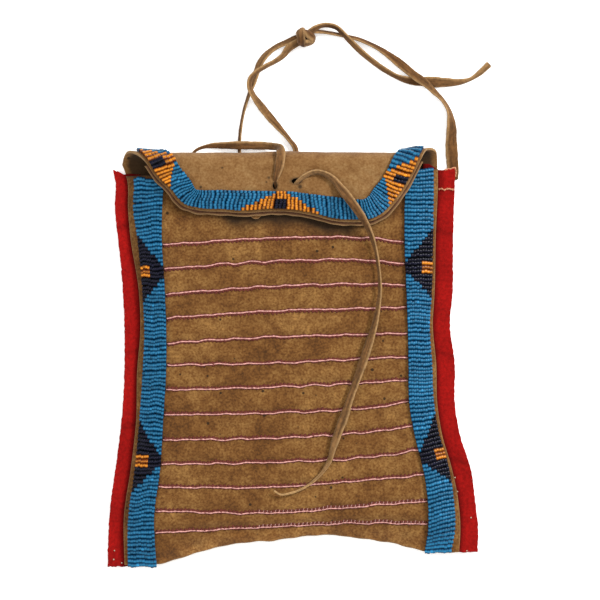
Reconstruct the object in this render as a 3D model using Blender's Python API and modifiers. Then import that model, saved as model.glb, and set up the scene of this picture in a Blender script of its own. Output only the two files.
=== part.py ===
"""A beaded hide dispatch bag with a fold-over flap, lying on its back with its front up.

X runs across the bag, Y up it towards the flap's fold, and Z away from the floor. Every size below is in
millimetres and becomes metres where a mesh is made. The bag is one sheet of hide that makes the back, the top
fold and the flap, a second sheet for the front, wool strips in the side seams, bands of seed beads, stitched
lines and two hide thongs.
"""
import math

import bmesh
import bpy
import numpy as np

MM = 0.001

# Sheets, beads and thongs
HIDE = 1.4  # thickness of the hide
WOOL = 1.3  # thickness of the wool strips
SEWN = 0.3  # clearance between pieces that are sewn or laid against each other
BEAD = 2.2  # size of a seed bead, which is the pitch of the rows
BEAD_VALLEY = 1.3  # height of a bead band between two rows
LINE = 1.6  # thickness of a stitched line
THONG = 2.6  # thickness of a thong, as a round of the same section
HEM = 0.9  # thickness of the strip under the flap's edge
HEM_SHOW = 1.9  # how far the hem strip stands out from the flap's edge
HEM_TUCK = 3.0  # how far the hem strip reaches under the flap

# The bag's section
POCKET = 6.5  # room between front and back in the middle
SLOPE = 18.0  # width over which the front rises from a side seam
BOTTOM_SLOPE = 20.0  # and from the bottom seam
SHUT_BETWEEN = (20.0, 32.0)  # distances from a side where the bottom seam closes, past the wool and the beads
SEAM_TUCK = 8.0  # how far a wool strip reaches into its seam
FOLD_OUTER = 7.6  # outer radius of the top fold
MOUTH = 99.8  # where the front's top edge lies
FLAP_DROOP = 1.7  # how far the flap's lower edge hangs down
DROOP_BETWEEN = (26.0, 42.0)  # distances round the fold from its crest where it bends down

# The sides, from bottom to top: place along Y, hide edge from the middle, wool that shows, hide between the
# seam and the beads, and width of the bead band
SIDE_SIZES = ("place", "edge", "wool", "margin", "band")
SIDES = {
    -1: (
        (-114.4, 92.4, 9.4, 2.0, 15.8),
        (-87.0, 92.6, 8.2, 2.8, 14.2),
        (-61.0, 88.8, 8.6, 2.5, 14.0),
        (-34.0, 85.9, 8.1, 2.2, 13.0),
        (-8.0, 85.4, 7.1, 3.4, 12.9),
        (16.0, 83.6, 8.9, 2.6, 11.9),
        (36.0, 84.4, 8.9, 2.3, 12.3),
        (67.0, 89.2, 7.0, 4.2, 13.5),
        (82.0, 90.4, 7.4, 3.2, 15.9),
        (97.6, 90.9, 6.7, 4.0, 16.0),
        (106.0, 93.0, 6.0, 4.6, 16.0),
    ),
    1: (
        (-107.4, 92.1, 10.2, 4.4, 14.9),
        (-96.0, 92.8, 10.0, 3.3, 14.9),
        (-78.0, 91.5, 9.4, 2.9, 14.0),
        (-61.0, 88.0, 10.5, 2.2, 13.5),
        (-43.0, 82.8, 9.9, 2.0, 13.1),
        (-26.0, 80.1, 9.8, 2.2, 13.4),
        (-4.0, 79.5, 10.3, 2.6, 12.9),
        (18.0, 77.6, 9.6, 2.0, 12.1),
        (36.0, 78.6, 10.0, 1.9, 13.9),
        (67.0, 79.2, 9.7, 1.8, 15.7),
        (97.6, 80.4, 9.4, 2.7, 15.6),
        (106.0, 80.3, 9.4, 2.7, 15.6),
    ),
}

BOTTOM = (  # the bottom edge, X and Y
    (-94.0, -114.6),
    (-75.0, -114.2),
    (-61.0, -110.7),
    (-47.3, -106.2),
    (-33.6, -103.4),
    (-6.6, -100.7),
    (16.0, -98.2),
    (43.5, -100.7),
    (57.2, -103.0),
    (72.6, -106.6),
    (93.0, -107.6),
)
CREST = (  # the outermost line of the fold, X and Y
    (-93.0, 113.9),
    (-88.0, 113.5),
    (-80.0, 112.7),
    (-60.0, 112.8),
    (-28.6, 112.9),
    (0.0, 113.4),
    (20.0, 112.9),
    (45.0, 112.7),
    (65.0, 113.2),
    (72.0, 114.2),
    (80.0, 115.4),
)
WOOL_TOP = {-1: (100.2, 103.1), 1: (103.0, 103.4)}  # a strip's top at the hide's edge and at its outer edge
WOOL_BOTTOM = {-1: -114.6, 1: -107.2}
FOLD_BACK = {-1: (91.5, 93.2), 1: (79.6, 80.3)}  # the sheet's edge halfway round the fold's back, and before it
STRAP_ROOM = 1.3  # how far the right strip lifts over the thong's end
STRAP_ROOM_FROM = 4.2  # distance from the hide's edge where it has lifted
STRAP_ROOM_BETWEEN = (85.0, 94.5)  # and where along Y it lifts

# The flap's bead band from left to right: the outer edge and the inner edge, each as X and the distance round
# the fold from its crest
FLAP_BAND = (
    ((-87.3, 0.0), (-79.5, -4.0)),
    ((-78.4, 8.8), (-66.5, 4.5)),
    ((-72.7, 16.9), (-60.8, 12.4)),
    ((-66.9, 22.7), (-56.0, 18.2)),
    ((-58.4, 32.0), (-52.4, 24.0)),
    ((-51.0, 33.9), (-49.5, 24.4)),
    ((-36.9, 34.7), (-36.9, 24.4)),
    ((-28.6, 35.4), (-28.6, 24.7)),
    ((-10.4, 34.9), (-9.9, 25.4)),
    ((-3.4, 35.1), (-3.4, 25.6)),
    ((12.1, 37.2), (11.5, 27.0)),
    ((22.6, 39.6), (22.6, 28.0)),
    ((34.7, 40.2), (33.5, 29.2)),
    ((44.3, 39.3), (39.8, 29.0)),
    ((50.0, 36.2), (42.6, 26.8)),
    ((54.7, 31.2), (44.3, 24.0)),
    ((61.7, 21.9), (49.7, 17.2)),
    ((67.4, 12.3), (55.1, 7.7)),
    ((73.3, 0.5), (63.5, -4.0)),
)
FLAP_MARGIN = 1.5  # hide between the beads and the flap's edge
FLAP_BEADS = 7  # beads in a row of the flap's band
SIDE_BEADS = 10  # beads in a row of a side band
BAND_TOP = MOUTH - 0.5
BAND_BOTTOM = {-1: -114.2, 1: -107.4}

# Motifs: the middle of each side motif along Y, and for a flap motif its middle along X, and the rows before,
# in and after its square
SIDE_MOTIFS = {-1: (47.0, -57.5), 1: (49.8, -53.6)}
SIDE_SQUARE = (3, 5)  # rows and beads of a side motif's orange square
SIDE_REACH = 10  # rows from the middle to the end of a side motif
FLAP_MOTIFS = ((-77.0, 4, 2, 6), (-6.9, 8, 3, 8), (63.2, 6, 2, 5))
FLAP_SQUARE = 4  # beads of a flap motif's navy square

# The front's lines: height of each at the left band, the middle, the right quarter and the right band
LINES = (
    (61.9, 65.7, 65.2, 63.5),
    (48.7, 53.1, 53.1, 51.4),
    (34.9, 39.3, 40.4, 39.9),
    (21.7, 25.6, 27.2, 27.8),
    (8.0, 11.3, 12.9, 13.5),
    (-4.1, -3.0, -0.3, 0.3),
    (-17.9, -16.2, -13.5, -12.4),
    (-31.6, -30.5, -27.2, -24.5),
    (-45.4, -44.3, -40.4, -37.7),
    (-58.6, -57.5, -54.2, -50.9),
    (-71.2, -71.2, -66.8, -64.6),
    (-84.4, -85.5, -81.1, -78.9),
    (-96.5, -93.2, -91.0, -91.6),
)
LINE_MIDDLE = -9.9
LINE_QUARTER = 47.3
LINE_POINTS = 9

# The tie thong: out of the fold's back, over a thong and the fold, in and out of the flap, down the front
TIE_ROUTE = (
    (-56.1, 107.0, 3.4), (-55.6, 110.0, 3.0), (-54.5, 112.9, 2.4), (-52.3, 114.9, 1.6),
    (-49.0, 116.2, 1.4), (-44.0, 116.9, 1.5), (-38.5, 116.9, 2.4), (-33.6, 116.9, 3.9),
    (-28.9, 116.9, 4.5), (-24.2, 116.9, 4.2), (-19.2, 116.9, 3.0), (-14.9, 116.8, 2.4),
    (-11.3, 116.4, 3.4), (-8.5, 115.9, 7.0), (-6.7, 114.9, 11.5), (-6.1, 112.8, 15.0),
    (-6.2, 109.7, 16.7), (-6.8, 105.9, 17.0), (-7.7, 102.0, 17.0), (-8.7, 98.2, 16.7),
    (-9.1, 95.2, 15.2), (-8.2, 92.4, 13.2), (-6.1, 90.5, 12.2), (-3.0, 90.5, 12.1),
    (-0.3, 92.1, 12.8), (1.7, 94.6, 14.6), (3.9, 97.1, 16.4), (7.2, 99.5, 17.0),
    (10.5, 101.1, 17.0), (14.3, 101.6, 17.0), (18.2, 100.4, 17.0), (22.9, 97.2, 17.3),
    (26.4, 93.0, 18.6), (29.7, 88.8, 19.6), (33.0, 84.4, 19.6), (36.0, 80.3, 19.1),
    (38.5, 76.7, 17.8), (40.7, 72.9, 15.4), (42.9, 68.5, 13.3), (44.4, 64.6, 12.9),
    (46.0, 58.6, 12.9), (47.1, 52.0, 12.9), (48.0, 44.8, 12.9), (48.2, 36.0, 12.9),
    (47.1, 26.7, 12.9), (45.4, 18.4, 12.9), (43.2, 10.7, 12.9), (40.7, 3.0, 12.9),
    (38.0, -5.2, 12.9), (34.9, -14.0, 12.9), (31.7, -23.2, 12.9), (29.0, -31.4, 12.9),
    (25.6, -40.4, 12.9), (22.6, -49.2, 12.9), (20.4, -56.9, 12.9), (16.5, -63.0, 12.9),
    (11.6, -67.9, 12.9), (5.3, -72.1, 12.9), (-1.1, -74.4, 12.9), (-6.6, -75.0, 12.9), (-9.9, -72.9, 12.9),
)
TIE_SLITS = ((-56.1, 107.0), (-52.3, 114.9)), ((-7.7, 102.0), (-6.1, 90.5)), ((-3.0, 90.5), (5.5, 98.4))

# The carrying thong: from under the right strip up through the knot, into the fold, out of it, through the
# knot again and out to its tip
CARRY_ROUTE = (
    (88.4, 96.0, 1.4), (88.9, 102.9, 1.4), (88.5, 109.7, 1.4), (88.1, 118.0, 1.4), (88.0, 129.0, 1.4),
    (86.8, 135.6, 1.4), (83.6, 141.3, 1.6), (78.2, 146.9, 3.2), (73.3, 151.3, 4.4), (68.2, 155.0, 4.2),
    (62.6, 159.8, 2.0), (57.0, 164.3, 1.4), (50.8, 168.8, 1.4), (43.5, 172.8, 1.4), (36.3, 175.9, 1.4),
    (29.7, 177.4, 1.4), (22.6, 178.8, 1.4), (17.1, 179.8, 1.6), (13.5, 179.9, 2.8), (10.1, 179.5, 4.2),
    (5.5, 177.5, 4.2), (0.9, 175.7, 4.2), (-3.3, 173.7, 2.8), (-8.8, 171.3, 1.4), (-14.3, 167.2, 1.4),
    (-17.9, 162.0, 1.4), (-19.9, 156.5, 1.4), (-21.7, 151.0, 1.4), (-24.1, 144.4, 1.4),
    (-26.4, 136.7, 1.4), (-28.1, 128.4, 1.4), (-28.9, 120.7, 1.4), (-29.2, 115.2, 1.5),
    (-28.9, 111.9, 2.4), (-27.5, 108.4, 3.2), (-24.2, 105.9, 3.4), (-18.7, 105.3, 3.4),
    (-13.2, 105.3, 3.4), (-7.7, 105.3, 3.4), (-2.8, 105.9, 3.4), (0.6, 108.4, 3.2), (2.0, 111.9, 2.4),
    (1.8, 115.2, 1.5), (-1.4, 119.9, 1.4), (-6.9, 126.4, 1.4), (-12.7, 133.1, 1.4), (-17.6, 139.4, 2.2),
    (-21.5, 144.7, 3.9), (-23.4, 149.3, 4.4), (-22.9, 153.4, 4.4), (-20.2, 156.9, 4.4),
    (-15.1, 160.3, 3.4), (-9.5, 163.5, 1.8), (-5.0, 166.7, 1.6), (-2.1, 170.3, 3.0), (2.0, 173.1, 4.2),
    (6.6, 175.0, 4.2),
    (11.2, 176.9, 4.2), (14.6, 179.2, 5.6), (16.8, 181.8, 4.8), (19.8, 183.4, 2.6), (24.2, 182.2, 2.2),
    (27.8, 179.0, 3.9), (30.8, 175.7, 4.4), (33.8, 172.7, 3.6), (38.0, 168.9, 1.8), (43.5, 164.3, 1.4),
    (50.6, 159.2, 1.4), (58.9, 154.7, 1.4), (66.6, 152.7, 1.4), (75.9, 152.2, 1.4), (84.7, 151.9, 1.4),
    (92.4, 152.1, 1.4), (99.0, 153.8, 1.4), (104.0, 157.3, 1.4), (108.4, 161.4, 1.4),
)
CARRY_SLITS = ((-28.9, 120.7), (-24.2, 105.9)), ((-2.8, 105.9), (-1.4, 119.9))
THONG_STEP = 10.0  # longest straight stretch of a thong
THONG_TURN = 0.55  # and its sharpest turn, in radians

# The knot's two turns round both runs of the carrying thong
KNOT_MIDDLE = (6.05, 176.3, 4.2)
KNOT_ANGLE = math.radians(22.4)
KNOT_APART = 1.7  # each run's distance from the knot's middle
KNOT_TURNS = 2
KNOT_POINTS = 21

# Finishes: sRGB colour, roughness
FINISHES = {
    "smoked_hide": ((0.55, 0.39, 0.22), 0.95),
    "flap_hide": ((0.68, 0.55, 0.39), 0.95),
    "red_wool": ((0.68, 0.08, 0.09), 0.95),
    "blue_glass_beads": ((0.13, 0.49, 0.70), 0.35),
    "navy_glass_beads": ((0.07, 0.06, 0.17), 0.3),
    "orange_glass_beads": ((0.96, 0.58, 0.13), 0.35),
    "pink_line": ((0.82, 0.62, 0.60), 0.6),
    "thong_hide": ((0.54, 0.40, 0.25), 0.9),
}

QUARTER = math.pi / 2 * (FOLD_OUTER - HIDE / 2)  # distance round the fold from its crest to the flat flap
SEAM = WOOL + 2 * SEWN  # gap between front and back at a side seam


# Lines and surfaces of the bag

def curve_through(points, x):
    """The height at x of a smooth line through (x, height) points, whose slopes come from the neighbours."""
    xs, ys = np.array(points, float).T
    slope = np.gradient(ys, xs)
    x = np.clip(x, xs[0], xs[-1])
    i = np.clip(np.searchsorted(xs, x) - 1, 0, len(xs) - 2)
    step = xs[i + 1] - xs[i]
    t = (x - xs[i]) / step
    start = (1 + 2 * t) * (1 - t) ** 2 * ys[i] + t * (1 - t) ** 2 * step * slope[i]
    end = t * t * (3 - 2 * t) * ys[i + 1] + t * t * (t - 1) * step * slope[i + 1]
    return start + end


def rise(distance, width):
    """0 at an edge, 1 from width on, rounding over like a parabola."""
    return 1 - (1 - np.clip(distance / width, 0, 1)) ** 2


def ease(value, low, high):
    """0 below low, 1 above high, smooth between."""
    t = np.clip((value - low) / (high - low), 0, 1)
    return t * t * (3 - 2 * t)


def side_size(side, name, y):
    """One of the side stations' sizes at y."""
    column = SIDE_SIZES.index(name)
    return curve_through([(row[0], row[column]) for row in SIDES[side]], y)


def hide_edge(side, y):
    """Distance of the hide's side edge from the middle."""
    return side_size(side, "edge", y)


def band_edges(side, y):
    """Distances of a side band's outer and inner edge from the middle."""
    outer = hide_edge(side, y) - side_size(side, "margin", y)
    return outer, outer - side_size(side, "band", y)


def front_under(x, y):
    """Height of the front's underside: a seam's gap at the sides, closed at the bottom, full in the middle."""
    from_side = np.minimum(x + hide_edge(-1, y), hide_edge(1, y) - x)
    from_bottom = y - curve_through(BOTTOM, x)
    shut = ease(from_side, *SHUT_BETWEEN) * (1 - rise(from_bottom, BOTTOM_SLOPE))
    full = rise(from_side, SLOPE) * rise(from_bottom, BOTTOM_SLOPE)
    return HIDE + SEAM - (SEAM - SEWN) * shut + (POCKET - SEAM) * full


def sheet_point(x, s, height):
    """A point of the back sheet at distance s round the fold from its crest, height off its middle surface."""
    radius = FOLD_OUTER - HIDE / 2
    middle = curve_through(CREST, x) - FOLD_OUTER
    angle = np.clip(s, -QUARTER, QUARTER) / radius
    past = s - np.clip(s, -QUARTER, QUARTER)
    droop = FLAP_DROOP * ease(s, *DROOP_BETWEEN)
    y = middle + (radius + height) * np.cos(angle) - np.sign(s) * past
    z = FOLD_OUTER + (radius + height) * np.sin(angle) - droop
    return x, y, z


def flap_band_edges(along):
    """The flap band's outer and inner edge, each as X and s, at a distance along its outer edge."""
    outer = np.array([pair[0] for pair in FLAP_BAND])
    inner = np.array([pair[1] for pair in FLAP_BAND])
    reach = flap_reach()
    at = [curve_through(np.column_stack([reach, values]), along) for values in (*outer.T, *inner.T)]
    return np.stack(at[:2], -1), np.stack(at[2:], -1)


def flap_reach():
    """Distance along the flap band's outer edge to each of its stations."""
    outer = np.array([pair[0] for pair in FLAP_BAND])
    return np.concatenate([[0], np.cumsum(np.linalg.norm(np.diff(outer, axis=0), axis=1))])


def flap_outline(past):
    """The flap's edge, past mm outside its beads, in fine steps from left to right, as X and s."""
    along = np.linspace(0, flap_reach()[-1], 240)
    outer, inner = flap_band_edges(along)
    out = (outer - inner) / np.linalg.norm(outer - inner, axis=1)[:, None]
    return outer + past * out


# Making objects

def srgb(colour):
    """Linear values of an sRGB colour."""
    return [c / 12.92 if c < 0.04045 else ((c + 0.055) / 1.055) ** 2.4 for c in colour]


def finish(name):
    """The named material, made once."""
    material = bpy.data.materials.get(name)
    if material is None:
        colour, roughness = FINISHES[name]
        material = bpy.data.materials.new(name)
        material.use_nodes = True
        shader = material.node_tree.nodes["Principled BSDF"]
        shader.inputs["Base Color"].default_value = (*srgb(colour), 1)
        shader.inputs["Roughness"].default_value = roughness
        shader.inputs["Metallic"].default_value = 0
    return material


def add_object(name, data, material, collection):
    """An object of its own in a collection, with its material."""
    thing = bpy.data.objects.new(name, data)
    data.materials.append(finish(material))
    collection.objects.link(thing)
    return thing


def grid_mesh(name, columns, rows, place):
    """A sheet: a grid whose points are moved by place(u, v), with u and v from 0 to 1."""
    shape = bmesh.new()
    bmesh.ops.create_grid(shape, x_segments=columns, y_segments=rows, size=0.5)
    flat = np.array([vertex.co[:2] for vertex in shape.verts]) + 0.5
    for vertex, point in zip(shape.verts, np.stack(place(*flat.T), -1)):
        vertex.co = point * MM
    mesh = bpy.data.meshes.new(name)
    shape.to_mesh(mesh)
    shape.free()
    mesh.shade_smooth()
    return mesh


def face_outwards(shape):
    """Turn a closed shape's faces outwards."""
    bmesh.ops.recalc_face_normals(shape, faces=shape.faces)
    if shape.calc_volume(signed=True) < 0:
        bmesh.ops.reverse_faces(shape, faces=shape.faces)


def in_fixed_order(mesh):
    """Put a mesh's points and faces in an order of their own, because a dissolve leaves them in no fixed one."""
    points = np.array([vertex.co[:] for vertex in mesh.vertices])
    order = np.lexsort(np.round(points / MM, 4).T)
    rank = np.argsort(order)
    faces = []
    for face in mesh.polygons:
        corners = [int(rank[index]) for index in face.vertices]
        first = corners.index(min(corners))
        faces.append(corners[first:] + corners[:first])
    mesh.clear_geometry()
    mesh.from_pydata(points[order], [], sorted(faces))


def raise_sheet(mesh, thickness):
    """Make a sheet a closed solid by raising a copy of it, or lowering it by a negative thickness."""
    shape = bmesh.new()
    shape.from_mesh(mesh)
    copied = bmesh.ops.extrude_face_region(shape, geom=shape.faces[:])["geom"]
    for vertex in (part for part in copied if isinstance(part, bmesh.types.BMVert)):
        vertex.co.z += thickness * MM
    face_outwards(shape)
    shape.to_mesh(mesh)
    shape.free()
    in_fixed_order(mesh)
    mesh.shade_smooth()


def thicken(thing, thickness):
    """Solidify the object's sheet to both sides."""
    wall = thing.modifiers.new("thickness", "SOLIDIFY")
    wall.thickness = thickness * MM
    wall.offset = 0
    wall.use_even_offset = True


def tube(name, points, diameter, material, collection, resolution=2):
    """A closed round tube along points."""
    curve = bpy.data.curves.new(name, "CURVE")
    curve.dimensions = "3D"
    curve.bevel_depth = diameter / 2 * MM
    curve.bevel_resolution = resolution
    curve.use_fill_caps = True
    spline = curve.splines.new("POLY")
    spline.points.add(len(points) - 1)
    for target, point in zip(spline.points, points):
        target.co = (*(np.array(point) * MM), 1)
    return add_object(name, curve, material, collection)


def thong_points(route):
    """Points of a smooth curve through a route, closer together where it turns."""
    route = np.array(route)
    at = np.concatenate([[0], np.cumsum(np.linalg.norm(np.diff(route, axis=0), axis=1))])
    fine = np.linspace(0, at[-1], int(at[-1]) * 2)
    line = np.stack([curve_through(np.column_stack([at, values]), fine) for values in route.T], -1)
    step = np.diff(line, axis=0)
    length = np.linalg.norm(step, axis=1)
    way = step / length[:, None]
    turn = np.arccos(np.clip((way[1:] * way[:-1]).sum(1), -1, 1))
    spent = np.concatenate([[0, 0], np.cumsum(length[1:] / THONG_STEP + turn / THONG_TURN)])
    count = math.ceil(spent[-1])
    picks = np.searchsorted(spent, np.linspace(0, spent[-1], count + 1))
    return line[np.unique(np.clip(picks, 0, len(line) - 1))]


def slit_cutter(name, points, ends, cutters):
    """A cutter along the stretch of a thong between two places, one clearance wider all round."""
    ends = [np.linalg.norm(points[:, :2] - end, axis=1).argmin() for end in ends]
    stretch = points[ends[0]:ends[1] + 1]
    wire = tube(name + "_path", stretch, THONG + 2 * SEWN, "thong_hide", cutters)
    mesh = bpy.data.meshes.new_from_object(wire.evaluated_get(bpy.context.evaluated_depsgraph_get()))
    shape = bmesh.new()
    shape.from_mesh(mesh)
    bmesh.ops.remove_doubles(shape, verts=shape.verts, dist=0.01 * MM)
    bmesh.ops.recalc_face_normals(shape, faces=shape.faces)
    shape.to_mesh(mesh)
    shape.free()
    cutter = bpy.data.objects.new(name, mesh)
    cutter.matrix_world = wire.matrix_world
    cutters.objects.link(cutter)
    bpy.data.objects.remove(wire)
    cutter.hide_render = True
    cutter.display_type = "WIRE"
    return cutter


def cut(thing, cutter):
    """Cut a slit through the object."""
    hole = thing.modifiers.new(cutter.name, "BOOLEAN")
    hole.operation = "DIFFERENCE"
    hole.solver = "EXACT"
    hole.object = cutter


# The hide

def spread(u):
    """Columns closer together near the sides, where the sheet turns down."""
    return 0.5 * u + 0.25 * (1 - np.cos(math.pi * u))


def front_panel(collection):
    """The front: a domed sheet that comes down to its seams, with its mouth open under the flap."""

    def place(u, v):
        across = spread(u)
        bottom = curve_through(BOTTOM, -hide_edge(-1, -100.0) * (1 - across) + hide_edge(1, -100.0) * across)
        y = bottom + (MOUTH - bottom) * (0.3 * v + 0.7 * v * v)
        x = -hide_edge(-1, y) * (1 - across) + hide_edge(1, y) * across
        return x, y, front_under(x, y)

    mesh = grid_mesh("front_panel", 20, 22, place)
    raise_sheet(mesh, HIDE)
    return add_object("front_panel", mesh, "smoked_hide", collection)


def back_levels():
    """Rows of the back sheet as (kind, share): up the back, round the fold, down the flap."""
    back = [("back", share) for share in (0, 0.06, 0.16, 0.3, 0.44, 0.58, 0.72, 0.86)]
    fold = [("fold", share) for share in np.linspace(-1, 1, 11)]
    flap = [("flap", share) for share in (0.25, 0.5, 0.63, 0.75, 0.88, 1)]
    return back + fold + flap


def sheet_edges(s, outline, corners):
    """X of the back sheet's left and right edge at distance s from the crest."""
    left = outline[: corners[0] + 1]
    right = outline[corners[1]:][::-1]
    edges = []
    for side, flap_side in ((-1, left), (1, right)):
        halfway, start = FOLD_BACK[side]
        s_values = np.concatenate([[-QUARTER, -QUARTER / 2], flap_side[:, 1]])
        x_values = np.concatenate([[side * start, side * halfway], flap_side[:, 0]])
        edges.append(np.interp(s, s_values, x_values))
    return edges


def flap_corners(outline):
    """Where the flap's outline turns from its slanting sides into its lower edge."""
    lean = np.gradient(outline[:, 1]) / np.gradient(outline[:, 0])
    low = np.flatnonzero(np.abs(lean) < 0.55)
    return low[0], low[-1]


def back_and_flap(collection, cutters):
    """The back, fold and flap as one sheet, with the thongs' slits cut through it."""
    levels = back_levels()
    outline = flap_outline(FLAP_MARGIN)
    corners = flap_corners(outline)
    lower = outline[corners[0]:corners[1] + 1]

    def place_one(u, v):
        kind, share = levels[round(v * (len(levels) - 1))]
        if kind == "back":
            foot_x = -hide_edge(-1, -100.0) * (1 - u) + hide_edge(1, -100.0) * u
            foot = curve_through(BOTTOM, foot_x)
            y = foot + (curve_through(CREST, foot_x) - FOLD_OUTER - foot) * share
            return -hide_edge(-1, y) * (1 - u) + hide_edge(1, y) * u, y, HIDE / 2
        if kind == "fold":
            s = share * QUARTER
            left, right = sheet_edges(s, outline, corners)
            return sheet_point(left * (1 - u) + right * u, s, 0)
        left, right = (QUARTER + (corner[1] - QUARTER) * share for corner in (lower[0], lower[-1]))
        x = sheet_edges(left, outline, corners)[0] * (1 - u) + sheet_edges(right, outline, corners)[1] * u
        bottom = np.interp(lower[0, 0] * (1 - u) + lower[-1, 0] * u, lower[:, 0], lower[:, 1])
        return sheet_point(x, QUARTER + (bottom - QUARTER) * share, 0)

    def place(us, vs):
        return np.array([place_one(u, v) for u, v in zip(spread(us), vs)]).T

    mesh = grid_mesh("back_and_flap", 20, len(levels) - 1, place)
    sheet = add_object("back_and_flap", mesh, "flap_hide", collection)
    thicken(sheet, HIDE)
    slits = [("tie_slit", thong_points(TIE_ROUTE), TIE_SLITS)]
    slits.append(("carry_slit", thong_points(CARRY_ROUTE), CARRY_SLITS))
    for name, points, places in slits:
        for number, ends in enumerate(places, 1):
            cut(sheet, slit_cutter(f"{name}_{number}", points, ends, cutters))
    return sheet


def hem_strip(collection):
    """The strip sewn under the flap's edge, standing out a little beyond it."""
    outline = flap_outline(FLAP_MARGIN + HEM_SHOW)
    inside = flap_outline(FLAP_MARGIN - HEM_TUCK)
    flat = np.flatnonzero((outline[:, 1] > QUARTER) & (inside[:, 1] > QUARTER - 2))
    first, last = flat[0], flat[-1]

    def place(u, v):
        at = first + v * (last - first)
        index = np.arange(len(outline))
        edge = [np.interp(at, index, outline[:, k]) * u + np.interp(at, index, inside[:, k]) * (1 - u) for k in (0, 1)]
        return sheet_point(edge[0], edge[1], -HIDE / 2 - SEWN)

    mesh = grid_mesh("flap_hem_strip", 1, 40, place)
    raise_sheet(mesh, -HEM)
    return add_object("flap_hem_strip", mesh, "thong_hide", collection)


def wool_strip(side, collection):
    """A strip of wool in a side seam, lifted over the thong's end at the right one's top."""
    name = "left_wool_strip" if side < 0 else "right_wool_strip"

    def place(u, v):
        inner = -SEAM_TUCK
        top = np.interp(u, (0, 0.4, 1), (WOOL_TOP[side][0], *WOOL_TOP[side]))
        y = WOOL_BOTTOM[side] + (top - WOOL_BOTTOM[side]) * v
        show = side_size(side, "wool", y)
        past = np.interp(u, (0, 0.2, 0.4), (inner, SEWN, STRAP_ROOM_FROM))
        past = np.where(u > 0.4, STRAP_ROOM_FROM + (show - STRAP_ROOM_FROM) * (u - 0.4) / 0.6, past)
        lift = STRAP_ROOM * ease(past, SEWN, STRAP_ROOM_FROM) * ease(y, *STRAP_ROOM_BETWEEN) * (side > 0)
        return side * (hide_edge(side, y) + past), y, HIDE + SEWN + lift

    mesh = grid_mesh(name, 5, 24, place)
    raise_sheet(mesh, WOOL)
    return add_object(name, mesh, "red_wool", collection)


# The beadwork

def side_colours(side):
    """The colour of every bead of a side band, row by row: navy triangles on blue, orange squares in them."""
    rows = round((BAND_TOP - BAND_BOTTOM[side]) / BEAD)
    colours = np.full((rows, SIDE_BEADS), "blue", dtype="<U6")
    square_rows, square_beads = SIDE_SQUARE
    for middle in SIDE_MOTIFS[side]:
        centre = int((BAND_TOP - middle) / BEAD)
        for row in range(centre - SIDE_REACH, centre + SIDE_REACH + 1):
            past = max(0, abs(row - centre) - square_rows // 2)
            reach = round(SIDE_BEADS * (1 - past / (SIDE_REACH - square_rows // 2 + 0.6)))
            colours[row, :reach] = "navy"
            if not past:
                colours[row, :square_beads] = "orange"
    return colours


def flap_colours():
    """The colour of every bead of the flap band: orange triangles on blue, navy squares in them."""
    length = flap_reach()[-1]
    colours = np.full((round(length / BEAD), FLAP_BEADS), "blue", dtype="<U6")
    along = np.linspace(0, length, 400)
    outer, _ = flap_band_edges(along)
    for middle, before, square, after in FLAP_MOTIFS:
        first = round(np.interp(middle, outer[:, 0], along) / BEAD - square / 2)
        for row in range(first - before, first + square + after):
            past, reach = (first - row, before) if row < first else (row - first - square + 1, after)
            if past > 0:
                colours[row, :max(round(FLAP_BEADS * (1 - past / (reach + 1))), 1)] = "orange"
            else:
                colours[row, :FLAP_SQUARE] = "navy"
                colours[row, FLAP_SQUARE:] = "orange"
    return colours


def colour_fields(colours):
    """Label joined beads of one colour, from the first row on: the label of every bead, and each one's colour."""
    labels = np.full(colours.shape, -1)
    names = []
    for start in np.ndindex(*colours.shape):
        if labels[start] >= 0:
            continue
        names.append(colours[start])
        waiting = [start]
        while waiting:
            row, bead = waiting.pop()
            inside = 0 <= row < colours.shape[0] and 0 <= bead < colours.shape[1]
            if inside and labels[row, bead] < 0 and colours[row, bead] == names[-1]:
                labels[row, bead] = len(names) - 1
                waiting += [(row + 1, bead), (row - 1, bead), (row, bead + 1), (row, bead - 1)]
    return labels, names


def on_ridge(vertex):
    """Whether a point of a flat field lies along the middle of a row."""
    return abs(vertex.co.y - round(vertex.co.y)) > 0.25


def lies_low(edge):
    """Whether an edge touches the flat underside of a field."""
    return min(vertex.co.z for vertex in edge.verts) < BEAD_VALLEY / 2


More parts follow.
